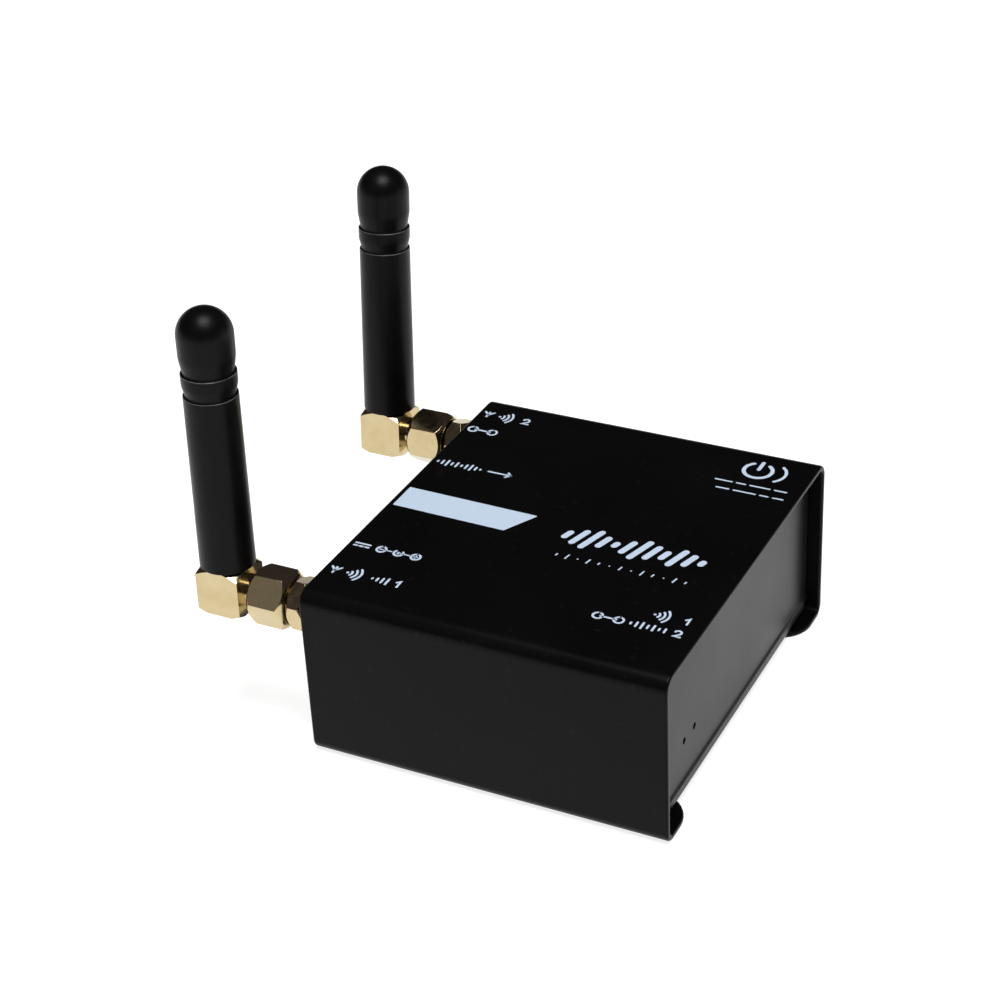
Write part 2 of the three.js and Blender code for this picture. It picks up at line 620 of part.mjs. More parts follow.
function elbow() {
  const e = ELBOW;
  const half = e.side / 2;
  const cube = block([-e.below, -half, e.centre - half], [e.above, half, e.centre + half]);
  const reachAfter = (end) => (e.bevelReach - end) / e.bevelSlope;
  const barrel = turned([
    [0, -e.below], [e.bottomEnd, -e.below], [e.bevelReach, -e.below + reachAfter(e.bottomEnd)],
    [e.bevelReach, e.above - reachAfter(e.topEnd)], [e.topEnd, e.above], [0, e.above],
  ], 24);
  const body = common(cube, alongX(barrel).translate(0, 0, e.centre));
  const grooveStart = RING.start - RING.play;
  const grooveEnd = RING.start + RING.width + RING.play;
  const neck = turned([
    [0, e.tipEnd], [e.tip, e.tipEnd], [e.tip, e.neckEnd], [e.neck, e.neckEnd],
    [e.neck, grooveStart], [RING.groove, grooveStart], [RING.groove, grooveEnd],
    [e.neck, grooveEnd], [e.neck, e.neckRoot], [0, e.neckRoot],
  ], 20);
  const spigot = alongX(rod(e.spigot, e.above - OVER, e.spigotTop)).translate(0, 0, e.centre);
  const pinWay = rod(e.bore, e.tipEnd - OVER, e.boreEnd, 12);
  const wireWay = alongX(rod(e.wireWay, 0, e.spigotTop + OVER, 12)).translate(0, 0, e.centre);
  return cut(join(body, neck, spigot), pinWay, wireWay);
}

const PIN = { radius: 0.46, tip: 0.21, taper: 0.5, start: 4.6, end: 14.4 };
const INSULATOR = { outer: 1.4, inner: 0.56, start: 6.8, end: 13.4 };

const antennaInsulator = () =>
  tube(INSULATOR.outer, INSULATOR.inner, INSULATOR.start, INSULATOR.end, 12);

function antennaPin() {
  const { radius, tip, taper, start, end } = PIN;
  return turned([[0, start], [tip, start], [radius, start + taper], [radius, end], [0, end]], 12);
}

// The moulded rubber sleeve: two stepped tiers and a domed cap, hollow from below.
function whip() {
  const w = WHIP;
  const foot = w.bottom + TURNED_GAP;
  const outline = [
    [0, foot], [w.bottomRadius, foot],
    [w.topRadius, w.stepOne - w.rim], [w.topRadius - w.rim, w.stepOne], [w.waist, w.stepOne],
    [w.bandFoot, w.stepOne + 1], [w.band, w.stepTwo - w.rim], [w.band - w.rim, w.stepTwo],
    [w.waist, w.stepTwo], [w.capFoot, w.stepTwo + 1], ...quarterRound(w.cap, w.domeCentre, 6),
  ];
  const room = rod(w.bore, 0, w.domeCentre - w.rim);
  return alongX(cut(turned(outline, 24), room)).translate(0, 0, ELBOW.centre);
}

const COIL = { foot: 0.6, start: 11, turns: 5, pitch: 4.6, radius: 1.5, wire: 0.4, stepsPerTurn: 9 };

// The radiator: a straight wire up from the pin that widens into an open coil.
function radiator() {
  const { foot, start, turns, pitch, radius, wire, stepsPerTurn } = COIL;
  const steps = turns * stepsPerTurn;
  const straight = [foot, start / 3, 2 * start / 3].map((x) => new THREE.Vector3(x, 0, 0));
  const coil = Array.from({ length: steps + 1 }, (_, i) => {
    const angle = 2 * Math.PI * i / stepsPerTurn;
    const reach = radius * Math.min(1, 1.5 * i / stepsPerTurn);
    const along = start + pitch * i / stepsPerTurn;
    return new THREE.Vector3(along, reach * Math.cos(angle), reach * Math.sin(angle));
  });
  const path = new THREE.CatmullRomCurve3([...straight, ...coil]);
  return cable(path, wire, 6, steps + 6).translate(0, 0, ELBOW.centre);
}

// ---------------------------------------------------------------- pigtails

// The thin coaxial cable from a jack's tail to its socket on the wireless module.
function pigtailCable({ y, washer }) {
  const side = Math.sign(y);
  const tailX = PAN_REAR - washer - JACK.tailEnd;
  const plugX = MODULE.x + SOCKET.x - PLUG.radius - 0.2;
  const route = [
    [tailX - 3.2, JACK_Y, JACK_Z], [tailX, JACK_Y, JACK_Z], [tailX + 3, 25.5, JACK_Z - 0.2],
    [-12.5, 24.6, 19], [-9, 22, 15.8], [-7.2, 18, 12.6], [-6.2, 14, 10.4], [-4.8, 10.6, 9.1],
    [-2.6, 8.8, PIGTAIL_LOW], [plugX - 1, SOCKET.y, PIGTAIL_LOW], [plugX, SOCKET.y, PIGTAIL_LOW],
  ].map(([x, across, z]) => new THREE.Vector3(x, side * across, z));
  return cable(new THREE.CatmullRomCurve3(route, false, 'centripetal'), PIGTAIL_RADIUS, 8, 30);
}

// ---------------------------------------------------------------- assembly

function addCase() {
  piece('cover', cover(), POWDER_BLACK);
  piece('chassis_pan', chassisPan(), POWDER_BLACK);
  CASE_SCREW_PLACES.forEach(([x, y], i) => {
    piece(`case_screw_${i + 1}`, caseScrew(), STEEL).position.set(x, y, 0);
  });
}

function addBoard() {
  piece('main_board', mainBoard(), SOLDER_MASK);
  STANDOFF_PLACES.forEach(([x, y], i) => {
    piece(`standoff_${i + 1}`, standoff(), STEEL).position.set(x, y, 0);
    piece(`board_screw_${i + 1}`, boardScrew(), STEEL).position.set(x, y, 0);
  });
}

function addElectronics() {
  piece('wireless_module', wirelessModule(), SOLDER_MASK);
  piece('module_shield', moduleShield(), STEEL);
  piece('audio_converter_chip', legged([-10, 3.5], [-3.5, 8.5], 1.6, 7), BLACK_PLASTIC);
  piece('voltage_regulator', legged([-9, -18.5], [-4.5, -14.5], 1.6, 4), BLACK_PLASTIC);
  piece('power_inductor', powerInductor(), BLACK_PLASTIC).position.set(-7, -7, 0);
  piece('supply_capacitor', supplyCapacitor(), ALUMINIUM).position.set(3.5, -18, 0);
}

function addConnectors() {
  piece('audio_jack_housing', audioJackHousing(), BLACK_PLASTIC);
  piece('audio_jack_barrel', audioJackBarrel(), BLACK_PLASTIC);
  piece('power_jack_housing', powerJackHousing(), BLACK_PLASTIC);
  piece('power_jack_pin', powerJackPin(), STEEL);
  piece('pairing_switch_housing', pairingSwitchHousing(), STEEL);
  piece('pairing_button', pairingButton(), BLACK_PLASTIC);
  LIGHT_Y.forEach((y, i) => {
    piece(`status_light_${i + 1}`, statusLight(), LIGHT_LENS).position.set(0, y, 0);
  });
}

// A group at the jack's shoulder whose +Z runs outwards (-X of the case) and whose +X is up.
function jackFrame({ y, washer }, lean) {
  const place = new THREE.Group();
  place.position.set(PAN_REAR - washer, y, JACK_Z);
  place.rotation.x = -degrees(lean);
  const frame = new THREE.Group();
  frame.rotation.y = -Math.PI / 2;
  place.add(frame);
  root.add(place);
  return frame;
}

function addJack(antenna) {
  const { number, washer, y } = antenna;
  const still = jackFrame(antenna, 0);
  piece(`jack_${number}_body`, jackBody(), GOLD, still);
  piece(`jack_${number}_insulator`, jackInsulator(), PTFE, still);
  piece(`jack_${number}_contact`, jackContact(), GOLD, still);
  piece(`jack_${number}_lock_washer`, lockWasher(washer), GOLD, still);
  piece(`jack_${number}_panel_nut`, panelNut(washer), GOLD, still);
  piece(`pigtail_${number}_cable`, pigtailCable(antenna), CABLE_JACKET);
  const [x, across] = [MODULE.x + SOCKET.x, Math.sign(y) * SOCKET.y];
  piece(`module_socket_${number}`, moduleSocket(), GOLD).position.set(x, across, 0);
  piece(`pigtail_${number}_plug`, pigtailPlug(), GOLD).position.set(x, across, 0);
}

function addAntenna(antenna) {
  const { number, nutCorner, lean } = antenna;
  piece(`antenna_${number}_coupling_nut`, couplingNut(nutCorner), GOLD, jackFrame(antenna, 0));
  const leaning = jackFrame(antenna, lean);
  piece(`antenna_${number}_retaining_ring`, retainingRing(), STEEL, leaning);
  piece(`antenna_${number}_elbow`, elbow(), GOLD, leaning);
  piece(`antenna_${number}_insulator`, antennaInsulator(), PTFE, leaning);
  piece(`antenna_${number}_pin`, antennaPin(), GOLD, leaning);
  piece(`antenna_${number}_whip`, whip(), RUBBER, leaning);
  piece(`antenna_${number}_radiator`, radiator(), GOLD, leaning);
}

addCase();
addBoard();
addElectronics();
addConnectors();
ANTENNAS.forEach((antenna) => {
  addJack(antenna);
  addAntenna(antenna);
});

export default root;
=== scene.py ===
# Looks for a small wireless audio receiver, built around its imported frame.
# Shapes are drawn in millimetres and written in metres.

import json
import math

import bmesh
import bpy
from mathutils import Matrix, Vector


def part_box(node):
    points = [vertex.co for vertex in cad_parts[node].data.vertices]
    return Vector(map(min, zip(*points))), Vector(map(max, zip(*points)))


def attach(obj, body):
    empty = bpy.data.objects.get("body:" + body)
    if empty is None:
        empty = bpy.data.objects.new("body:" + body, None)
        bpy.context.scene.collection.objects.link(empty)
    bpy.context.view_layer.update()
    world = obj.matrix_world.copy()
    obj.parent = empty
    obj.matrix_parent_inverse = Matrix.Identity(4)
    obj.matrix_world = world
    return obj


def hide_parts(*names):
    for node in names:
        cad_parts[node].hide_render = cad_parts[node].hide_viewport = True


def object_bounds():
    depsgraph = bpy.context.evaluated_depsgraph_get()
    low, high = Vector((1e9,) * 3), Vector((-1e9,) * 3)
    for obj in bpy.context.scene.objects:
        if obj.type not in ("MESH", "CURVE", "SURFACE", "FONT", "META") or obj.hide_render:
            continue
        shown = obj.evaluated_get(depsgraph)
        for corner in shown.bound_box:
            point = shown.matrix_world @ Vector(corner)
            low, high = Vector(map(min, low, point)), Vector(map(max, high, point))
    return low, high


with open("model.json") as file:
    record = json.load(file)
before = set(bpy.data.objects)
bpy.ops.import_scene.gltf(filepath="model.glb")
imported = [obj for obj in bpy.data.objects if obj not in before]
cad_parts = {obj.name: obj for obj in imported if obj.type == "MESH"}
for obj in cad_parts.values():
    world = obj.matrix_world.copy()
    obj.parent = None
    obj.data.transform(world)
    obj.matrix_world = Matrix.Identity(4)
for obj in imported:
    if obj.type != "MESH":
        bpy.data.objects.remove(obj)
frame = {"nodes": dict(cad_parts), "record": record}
cad_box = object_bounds()

MM = 0.001
SHEET = 1.0
ROOF_BEND, LIP_BEND = 2.4, 2.0  # outer radii of the cover's upper and lower bends
COVER_LIP = 10.0
LIP_CORNER = 5.3
PAN_BEND = 1.1
PAN_FOOT = (0.3, 2.17, 2.66)  # how far the front plate's foot stands forward, and its two heights
PAN_NOTCH = (1.3, 2.2)  # width and height cut from the floor's edges, clear of the cover's bends
LIGHT_HALF = 1.5  # from a status light's axis to the top of its base
HOLE = {"jack": 3.25, "button": 1.75, "audio": 3.2, "power": 4.3, "light": 0.55}
COVER_EDGE = 0.38  # rounding of the cover's cut edges
SOFT_EDGE = 0.1  # the rounding that paint gives a cut sheet edge
ARC_STEP = math.radians(11)
LEAN = {1: 2.0, 2: 5.0}  # degrees that each antenna leans towards +Y at rest
NUT_CORNER = {1: 52.1, 2: 18.5}  # degrees, where each coupling nut stopped turning

# Depths along a jack's axis run outwards from the shoulder that bears on the lock washer.
JACK = {
    "tail_end": -9, "tail": 2, "thread_start": -5, "thread": 3.1, "thread_depth": 0.3, "thread_end": 7.9,
    "shoulder": 3.5, "shoulder_end": 0.7, "flats": 7.2, "hex_start": 0.4, "hex_end": 3.5, "hex_corner": 41,
    "hex_bevel": 0.3, "mouth": 2.35, "mouth_start": 6.1, "bore": 2, "bore_start": -4.5, "cable_bore": 0.75,
}
NUT = {"start": 3.65, "end": 10.0, "flats": 8.0, "bevel": 0.35, "bore": 3.3, "lip_bore": 2.75, "lip": 1.1}
ELBOW = {
    "centre": 15.0, "half": 3.6, "below": -3.35, "above": 4.0, "bottom_end": 4.2, "top_end": 3.6,
    "reach": 6.0, "slope": 1.5, "tip": 2.2, "tip_end": 6.5, "neck": 2.55, "neck_end": 8.2, "neck_root": 12.5,
    "groove": (8.25, 8.9, 2.15), "spigot": 2.4, "spigot_top": 7, "bore": 1.5, "bore_end": 16.2,
    "wire_way": 1.0,
}
# Each tier's upper edge carries a thin ring of lighter rubber, a painted highlight; its thickness is the last
# entry.
WHIP = {
    "tiers": ((4.03, 31.9), (4.09, 35.4)), "rim": 0.16, "highlight_ring": 0.08,
    "cap": 4.15, "dome_base": 41.1, "crown": 45.25,
}

record = frame["record"]
joints = {joint["name"]: joint for joint in record["behaviour"]["joints"]}


# ---------------------------------------------------------------- places, from the frame

def span(node):
    """Lowest and highest corner of a CAD node, in millimetres."""
    low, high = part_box(node)
    return Vector(low) / MM, Vector(high) / MM


def middle(node):
    low, high = span(node)
    return (low + high) / 2


def swivel(number):
    """Where antenna 1 or 2 turns, under the middle of its whip, in millimetres."""
    return Vector(joints[f"antenna_{number}_swivel"]["pos_m"]) / MM


cover_low, cover_high = span("cover")
pan_low, pan_high = span("chassis_pan")


# ---------------------------------------------------------------- mesh building

def rotated(vector, angle):
    cos, sin = math.cos(angle), math.sin(angle)
    return Vector((vector.x * cos - vector.y * sin, vector.x * sin + vector.y * cos))


def softened(corners, closed=True):
    """The outline through the corners, (u, v) or (u, v, radius), with an arc at each rounded one."""
    points = []
    for i, corner in enumerate(corners):
        here = Vector(corner[:2])
        at_end = not closed and i in (0, len(corners) - 1)
        if len(corner) < 3 or at_end:
            points.append(here)
            continue
        radius = corner[2]
        back = (Vector(corners[i - 1][:2]) - here).normalized()
        onward = (Vector(corners[(i + 1) % len(corners)][:2]) - here).normalized()
        half = back.angle(onward) / 2
        centre = here + (back + onward).normalized() * (radius / math.sin(half))
        start = here + back * (radius / math.tan(half)) - centre
        side = 1 if back.x * onward.y - back.y * onward.x < 0 else -1
        turn = math.pi - 2 * half
        steps = max(2, math.ceil(turn / ARC_STEP))
        points += [centre + rotated(start, side * turn * step / steps) for step in range(steps + 1)]
    return points


# How an outline's (u, v) and its depth w become (x, y, z).
PUSHED = {
    "X": lambda u, v, w: (w, u, v),
    "Y": lambda u, v, w: (u, w, v),
    "Z": lambda u, v, w: (u, v, w),
}


def as_object(name, bm, matrix=None):
    """A new object at the origin from millimetre geometry."""
    bmesh.ops.recalc_face_normals(bm, faces=bm.faces)
    bm.transform(Matrix.Scale(MM, 4) @ (matrix or Matrix.Identity(4)))
    if matrix is not None and matrix.determinant() < 0:
        bmesh.ops.reverse_faces(bm, faces=bm.faces)
    mesh = bpy.data.meshes.new(name)
    bm.to_mesh(mesh)
    bm.free()
    piece = bpy.data.objects.new(name, mesh)
    bpy.context.scene.collection.objects.link(piece)
    return piece


def add_prism(bm, outline, low, high, axis="Z"):
    place = PUSHED[axis]
    ends = [[bm.verts.new(place(u, v, depth)) for u, v in outline] for depth in (low, high)]
    bm.faces.new(ends[0])
    bm.faces.new(ends[1])
    for i in range(len(outline)):
        following = (i + 1) % len(outline)
        bm.faces.new((ends[0][i], ends[0][following], ends[1][following], ends[1][i]))


def add_lathe(bm, profile, axis="Z", centre=(0, 0, 0), steps=72):
    """A profile of (radius, height) turned about an axis. It starts and ends on the axis, or
    is a closed ring."""
    place = PUSHED[axis]
    closed = profile[0][0] > 1e-6
    rings = []
    for radius, height in profile:
        if radius < 1e-6:
            rings.append([bm.verts.new(Vector(place(0, 0, height)) + Vector(centre))])
            continue
        angles = [2 * math.pi * i / steps for i in range(steps)]
        rings.append([bm.verts.new(Vector(place(radius * math.cos(a), radius * math.sin(a), height))
                                   + Vector(centre)) for a in angles])
    pairs = list(zip(rings, rings[1:]))
    if closed:
        pairs.append((rings[-1], rings[0]))
    for one, other in pairs:
        for i in range(steps):
            corners = [one[i % len(one)], one[(i + 1) % len(one)],
                       other[(i + 1) % len(other)], other[i % len(other)]]
            unique = list(dict.fromkeys(corners))
            if len(unique) > 2:
                bm.faces.new(unique)


def prism(name, outline, low, high, axis="Z", matrix=None):
    bm = bmesh.new()
    add_prism(bm, outline, low, high, axis)
    return as_object(name, bm, matrix)


def lathe(name, profile, axis="Z", centre=(0, 0, 0), steps=72, matrix=None):
    bm = bmesh.new()
    add_lathe(bm, profile, axis, centre, steps)
    return as_object(name, bm, matrix)


def block(name, low, high, matrix=None):
    outline = [(low[0], low[1]), (high[0], low[1]), (high[0], high[1]), (low[0], high[1])]
    return prism(name, outline, low[2], high[2], "Z", matrix)


def rod(name, radius, low, high, axis="X", centre=(0, 0, 0), steps=64, matrix=None):
    return lathe(name, [(0, low), (radius, low), (radius, high), (0, high)], axis, centre, steps, matrix)


def hexagon(flats, corner, edge):
    """A hexagon in the YZ plane whose first corner is at that angle from +Y towards +Z."""
    radius = flats / math.sqrt(3)
    angles = [math.radians(corner + 60 * i) for i in range(6)]
    return softened([(radius * math.cos(a), radius * math.sin(a), edge) for a in angles])


def bake(piece):
    """Replaces a piece's mesh with what its modifiers make of it."""
    graph = bpy.context.evaluated_depsgraph_get()
    made = bpy.data.meshes.new_from_object(piece.evaluated_get(graph))
    old = piece.data
    piece.modifiers.clear()
    piece.data = made
    bpy.data.meshes.remove(old)


def combine(piece, operation, *tools):
    """Joins, cuts or intersects a piece with other solids, which are used up."""
    for tool in tools:
        modifier = piece.modifiers.new("shape", "BOOLEAN")
        modifier.operation = operation
        modifier.solver = "EXACT"
        modifier.object = tool
    bake(piece)
    for tool in tools:
        bpy.data.objects.remove(tool)
    return piece


def round_edges(piece, width, limit=30, segments=2):
    """Merges a piece's flat faces and rounds the edges sharper than a limit in degrees."""
    bm = bmesh.new()
    bm.from_mesh(piece.data)
    bmesh.ops.remove_doubles(bm, verts=bm.verts, dist=1e-7)
    bmesh.ops.dissolve_limit(bm, angle_limit=math.radians(0.4), verts=bm.verts, edges=bm.edges)
    bm.to_mesh(piece.data)
    bm.free()
    if width:
        bevel = piece.modifiers.new("edges", "BEVEL")
        bevel.width = width * MM
        bevel.segments = segments
        bevel.limit_method = "ANGLE"
        bevel.angle_limit = math.radians(limit)
        bake(piece)


def dress(piece, body, slot, nodes, edge=0.06, limit=30, material=None):
    """Rounds a piece's sharp edges, smooths it, and puts it in the frame in place of CAD nodes."""
    round_edges(piece, edge, limit)
    piece.data.shade_smooth()
    piece.data.set_sharp_from_angle(angle=math.radians(50))
    weighted = piece.modifiers.new("normals", "WEIGHTED_NORMAL")
    weighted.keep_sharp = True
    bake(piece)
    piece.data.materials.clear()
    piece.data.materials.append(material or materials[slot])
    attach(piece, body)
    if nodes:
        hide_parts(*nodes)
    return piece


# ---------------------------------------------------------------- materials

class Paint:
    """A Principled material with a short way to wire textures into it."""

    def __init__(self, name, **settings):
        self.material = bpy.data.materials.new(name)
        self.material.use_nodes = True
        self.tree = self.material.node_tree
        self.shader = self.tree.nodes["Principled BSDF"]
        self.place = self.tree.nodes.new("ShaderNodeTexCoord").outputs["Object"]
        for socket, value in settings.items():
            self.shader.inputs[socket.replace("_", " ")].default_value = value

    def node(self, kind, inputs=(), **settings):
        made = self.tree.nodes.new(kind)
        for setting, value in settings.items():
            setattr(made, setting, value)
        for socket, value in dict(inputs).items():
            if isinstance(value, bpy.types.NodeSocket):
                self.tree.links.new(value, made.inputs[socket])
            else:
                made.inputs[socket].default_value = value
        return made

    def noise(self, scale, detail=3.0, roughness=0.55, stretch=(1, 1, 1)):
        """Noise of about one blotch per 1/scale metres, stretched along the axes."""
        mapped = self.node("ShaderNodeMapping", {"Vector": self.place, "Scale": stretch})
        made = self.node("ShaderNodeTexNoise", {"Vector": mapped.outputs[0], "Scale": scale,
                                               "Detail": detail, "Roughness": roughness})
        return made.outputs["Fac"]

    def spread(self, value, low, high, start=0.3, end=0.7):
        """Maps start..end of a texture to low..high."""
        made = self.node("ShaderNodeMapRange", {"Value": value, "From Min": start, "From Max": end,
                                               "To Min": low, "To Max": high})
        return made.outputs[0]

    def mix(self, share, one, other):
        made = self.node("ShaderNodeMix", {"Factor": share}, data_type="RGBA")
        for socket, colour in ((made.inputs[6], one), (made.inputs[7], other)):
            if isinstance(colour, bpy.types.NodeSocket):
                self.tree.links.new(colour, socket)
            else:
                socket.default_value = (*colour, 1)
        return made.outputs[2]

    def drive(self, socket, output):
        self.tree.links.new(output, self.shader.inputs[socket])
        return self

    def bump(self, height, depth, strength=1.0):
        """Raises the surface by a texture, depth metres high, over any bump made before."""
        settings = {"Height": height, "Distance": depth, "Strength": strength}
        before = self.shader.inputs["Normal"].links
        if before:
            settings["Normal"] = before[0].from_socket
        made = self.node("ShaderNodeBump", settings)
        return self.drive("Normal", made.outputs[0])


def powder_coat(name, dark, light, roughness, ior):
    """Semi-matt black powder coat: orange peel, faint cloudiness and fine rubbed spots."""
    paint = Paint(name, IOR=ior)
    cloud = paint.noise(60, 4)
    spots = paint.spread(paint.noise(900, 2), 0, 1, 0.66, 0.74)
    tint = paint.mix(paint.spread(cloud, 0, 1), dark, light)
    paint.drive("Base Color", paint.mix(spots, tint, [2.2 * c for c in light]))
    paint.drive("Roughness", paint.spread(cloud, roughness - 0.03, roughness + 0.04))
    paint.bump(paint.noise(1400, 2), 0.000006)
    return paint.bump(paint.noise(5000, 2), 0.0000015).material


def gold_plate(name, roughness=0.14):
    """Bright gold over turned brass, with fine tool marks round the X axis."""
    paint = Paint(name, Metallic=1.0)
    cloud = paint.noise(300, 3)
    paint.drive("Base Color", paint.mix(paint.spread(cloud, 0, 1), (0.52, 0.415, 0.228), (0.57, 0.47, 0.28)))
    paint.drive("Roughness", paint.spread(paint.noise(900, 4), roughness - 0.03, roughness + 0.06))
    marks = paint.noise(1, 2, stretch=(16000, 250, 250))
    paint.bump(marks, 0.0000012)
    return paint.bump(paint.noise(600, 2), 0.000002).material


def moulded_rubber(name):
    """Satin black antenna rubber, faintly mottled, with a little dust in the grain."""
    paint = Paint(name, IOR=1.21)
    cloud = paint.noise(180, 4)
    dust = paint.spread(paint.noise(2600, 3), 0, 0.5, 0.62, 0.8)
    tint = paint.mix(paint.spread(cloud, 0, 1), (0.002, 0.0018, 0.0019), (0.003, 0.0027, 0.0029))
    paint.drive("Base Color", paint.mix(dust, tint, (0.014, 0.0135, 0.013)))
    paint.drive("Roughness", paint.spread(cloud, 0.3, 0.4))
    paint.bump(paint.noise(2200, 3), 0.000006)
    return paint.bump(paint.noise(260, 2, stretch=(1, 1, 0.4)), 0.00001).material


def printed_ink(name, colour):
    """Screen-printed ink: slightly uneven cover and a dry surface."""
    paint = Paint(name, IOR=1.4)
    thin = paint.spread(paint.noise(2400, 3), 0, 1, 0.3, 0.75)
    paint.drive("Base Color", paint.mix(thin, colour, [0.93 * c for c in colour]))
    paint.drive("Roughness", paint.spread(paint.noise(700, 2), 0.42, 0.58))
    return paint.bump(paint.noise(3800, 2), 0.000003).material


def moulded_plastic(name, dark, light, roughness=0.4):
    paint = Paint(name, IOR=1.49)
    paint.drive("Base Color", paint.mix(paint.spread(paint.noise(400, 3), 0, 1), dark, light))
    paint.drive("Roughness", paint.spread(paint.noise(1500, 3), roughness - 0.06, roughness + 0.08))
    return paint.bump(paint.noise(6000, 2), 0.000003).material


def bare_metal(name, dark, light, roughness=0.3, stretch=(200, 200, 9000)):
    """Machined or rolled metal with fine lines across one axis."""
    paint = Paint(name, Metallic=1.0)
    lines = paint.noise(1, 3, stretch=stretch)
    paint.drive("Base Color", paint.mix(paint.spread(paint.noise(350, 3), 0, 1), dark, light))
    paint.drive("Roughness", paint.spread(lines, roughness - 0.08, roughness + 0.1))
    return paint.bump(lines, 0.000002).material


def circuit_board(name):
    """Green solder mask over a weave of tracks, with small tinned pads."""
    paint = Paint(name, IOR=1.5)
    cells = paint.node("ShaderNodeTexVoronoi", {"Vector": paint.place, "Scale": 420.0},
                       feature="F1", distance="MANHATTAN")
    tracks = paint.node("ShaderNodeTexBrick", {"Vector": paint.place, "Scale": 260.0,
                                              "Mortar Size": 0.09, "Color1": (0, 0, 0, 1),
                                              "Color2": (0, 0, 0, 1), "Mortar": (1, 1, 1, 1)})
    mask = paint.mix(tracks.outputs["Color"], (0.008, 0.05, 0.022), (0.02, 0.11, 0.045))
    pads = paint.spread(cells.outputs["Distance"], 1, 0, 0.16, 0.2)
    paint.drive("Base Color", paint.mix(pads, mask, (0.55, 0.56, 0.55)))
    paint.drive("Metallic", pads)
    paint.drive("Roughness", paint.spread(paint.noise(900, 3), 0.28, 0.42))
    return paint.bump(tracks.outputs["Color"], 0.00003, 0.6).material


def light_lens(name):
    paint = Paint(name, IOR=1.5)
    paint.shader.inputs["Subsurface Weight"].default_value = 0.2
    paint.drive("Base Color", paint.mix(paint.noise(1200, 2), (0.62, 0.66, 0.7), (0.8, 0.84, 0.88)))
    paint.drive("Roughness", paint.spread(paint.noise(2000, 2), 0.12, 0.25))
    return paint.bump(paint.noise(3000, 2), 0.000002).material


def light_table(name):
    """A pale diffusing sheet lit faintly from below, which keeps shadows soft and thin."""
    paint = Paint(name, IOR=1.3, Roughness=0.8, Emission_Color=(1, 1, 1, 1), Emission_Strength=0.82)
    paint.drive("Base Color", paint.mix(paint.noise(30, 2), (0.49, 0.49, 0.49), (0.51, 0.51, 0.51)))
    return paint.material


materials = {
    # The cover and the pan get two copies of one powder coat: the cover's darker with a lower IOR, painted
    # shade for its dim sides; the pan's lighter with a higher IOR, painted light for its bright front plate.
    "powder_coated_steel": powder_coat("cover_powder_coat_shaded", (0.0021, 0.002, 0.0021), (0.0028, 0.0027, 0.0028),
                                       0.3, 1.18),
    "pan": powder_coat("pan_powder_coat_lit", (0.006, 0.0058, 0.0059), (0.009, 0.0088, 0.0089), 0.32, 1.225),
    "gold_plated_brass": gold_plate("gold_plate"),
    "plain_steel": bare_metal("plain_steel", (0.42, 0.42, 0.43), (0.56, 0.56, 0.57)),
    "antenna_rubber": moulded_rubber("antenna_rubber"),
    # A lighter rubber used only for the tier rims: a painted highlight along their upper edges.
    "painted_highlight_rubber": moulded_plastic("painted_highlight_rubber", (0.02, 0.019, 0.019), (0.16, 0.155, 0.15), 0.4),
    "white_insulator": moulded_plastic("white_insulator", (0.72, 0.72, 0.69), (0.82, 0.82, 0.8), 0.45),
    "circuit_board": circuit_board("circuit_board"),
    "black_plastic": moulded_plastic("black_plastic", (0.008, 0.008, 0.009), (0.014, 0.014, 0.015)),
    "light_lens": light_lens("light_lens"),
    "can_aluminium": bare_metal("can_aluminium", (0.6, 0.61, 0.62), (0.72, 0.73, 0.74), 0.25),
    "cable_jacket": moulded_plastic("cable_jacket", (0.16, 0.07, 0.022), (0.24, 0.11, 0.035), 0.35),
    "ink": printed_ink("print_ink", (0.60, 0.72, 0.875)),
}


# ---------------------------------------------------------------- case

def build_cover():
    side = cover_high.y
    lip = side - COVER_LIP
    outer, inner = LIP_BEND, LIP_BEND - SHEET
    roof_inner = ROOF_BEND - SHEET
    bottom, top = cover_low.z, cover_high.z
    outline = softened([
        (lip, bottom), (side, bottom, outer), (side, top, ROOF_BEND), (-side, top, ROOF_BEND),
        (-side, bottom, outer), (-lip, bottom), (-lip, bottom + SHEET),
        (-side + SHEET, bottom + SHEET, inner), (-side + SHEET, top - SHEET, roof_inner),
        (side - SHEET, top - SHEET, roof_inner), (side - SHEET, bottom + SHEET, inner),
        (lip, bottom + SHEET),
    ])
    cover = prism("cover_shell", outline, cover_low.x, cover_high.x, "X")
    tools = []
    over = 1.0
    for sx in (-1, 1):
        for sy in (-1, 1):
            edge_x = cover_low.x if sx < 0 else cover_high.x
            corner = softened([
                (edge_x + sx * over, sy * (lip - over)), (edge_x + sx * over, sy * (lip + LIP_CORNER)),
                (edge_x, sy * (lip + LIP_CORNER)), (edge_x, sy * lip, LIP_CORNER),
                (edge_x - sx * LIP_CORNER, sy * lip), (edge_x - sx * LIP_CORNER, sy * (lip - over)),
            ])
            tools.append(prism("waste", corner, bottom - 1, bottom + 2 * SHEET))
    combine(cover, "DIFFERENCE", *tools)
    round_edges(cover, COVER_EDGE, 38, 3)
    tools = []
    for number in range(1, 5):
        centre = middle(f"case_screw_{number}")
        sink = [(0, bottom - 1), (2.25, bottom - 1), (2.25, bottom), (1.35, bottom + 0.9),
                (1.35, bottom + 2), (0, bottom + 2)]
        tools.append(lathe("waste", sink, "Z", (centre.x, centre.y, 0), 48))
    combine(cover, "DIFFERENCE", *tools)
    dress(cover, "root", "powder_coated_steel", ["cover"], 0.04, 44)


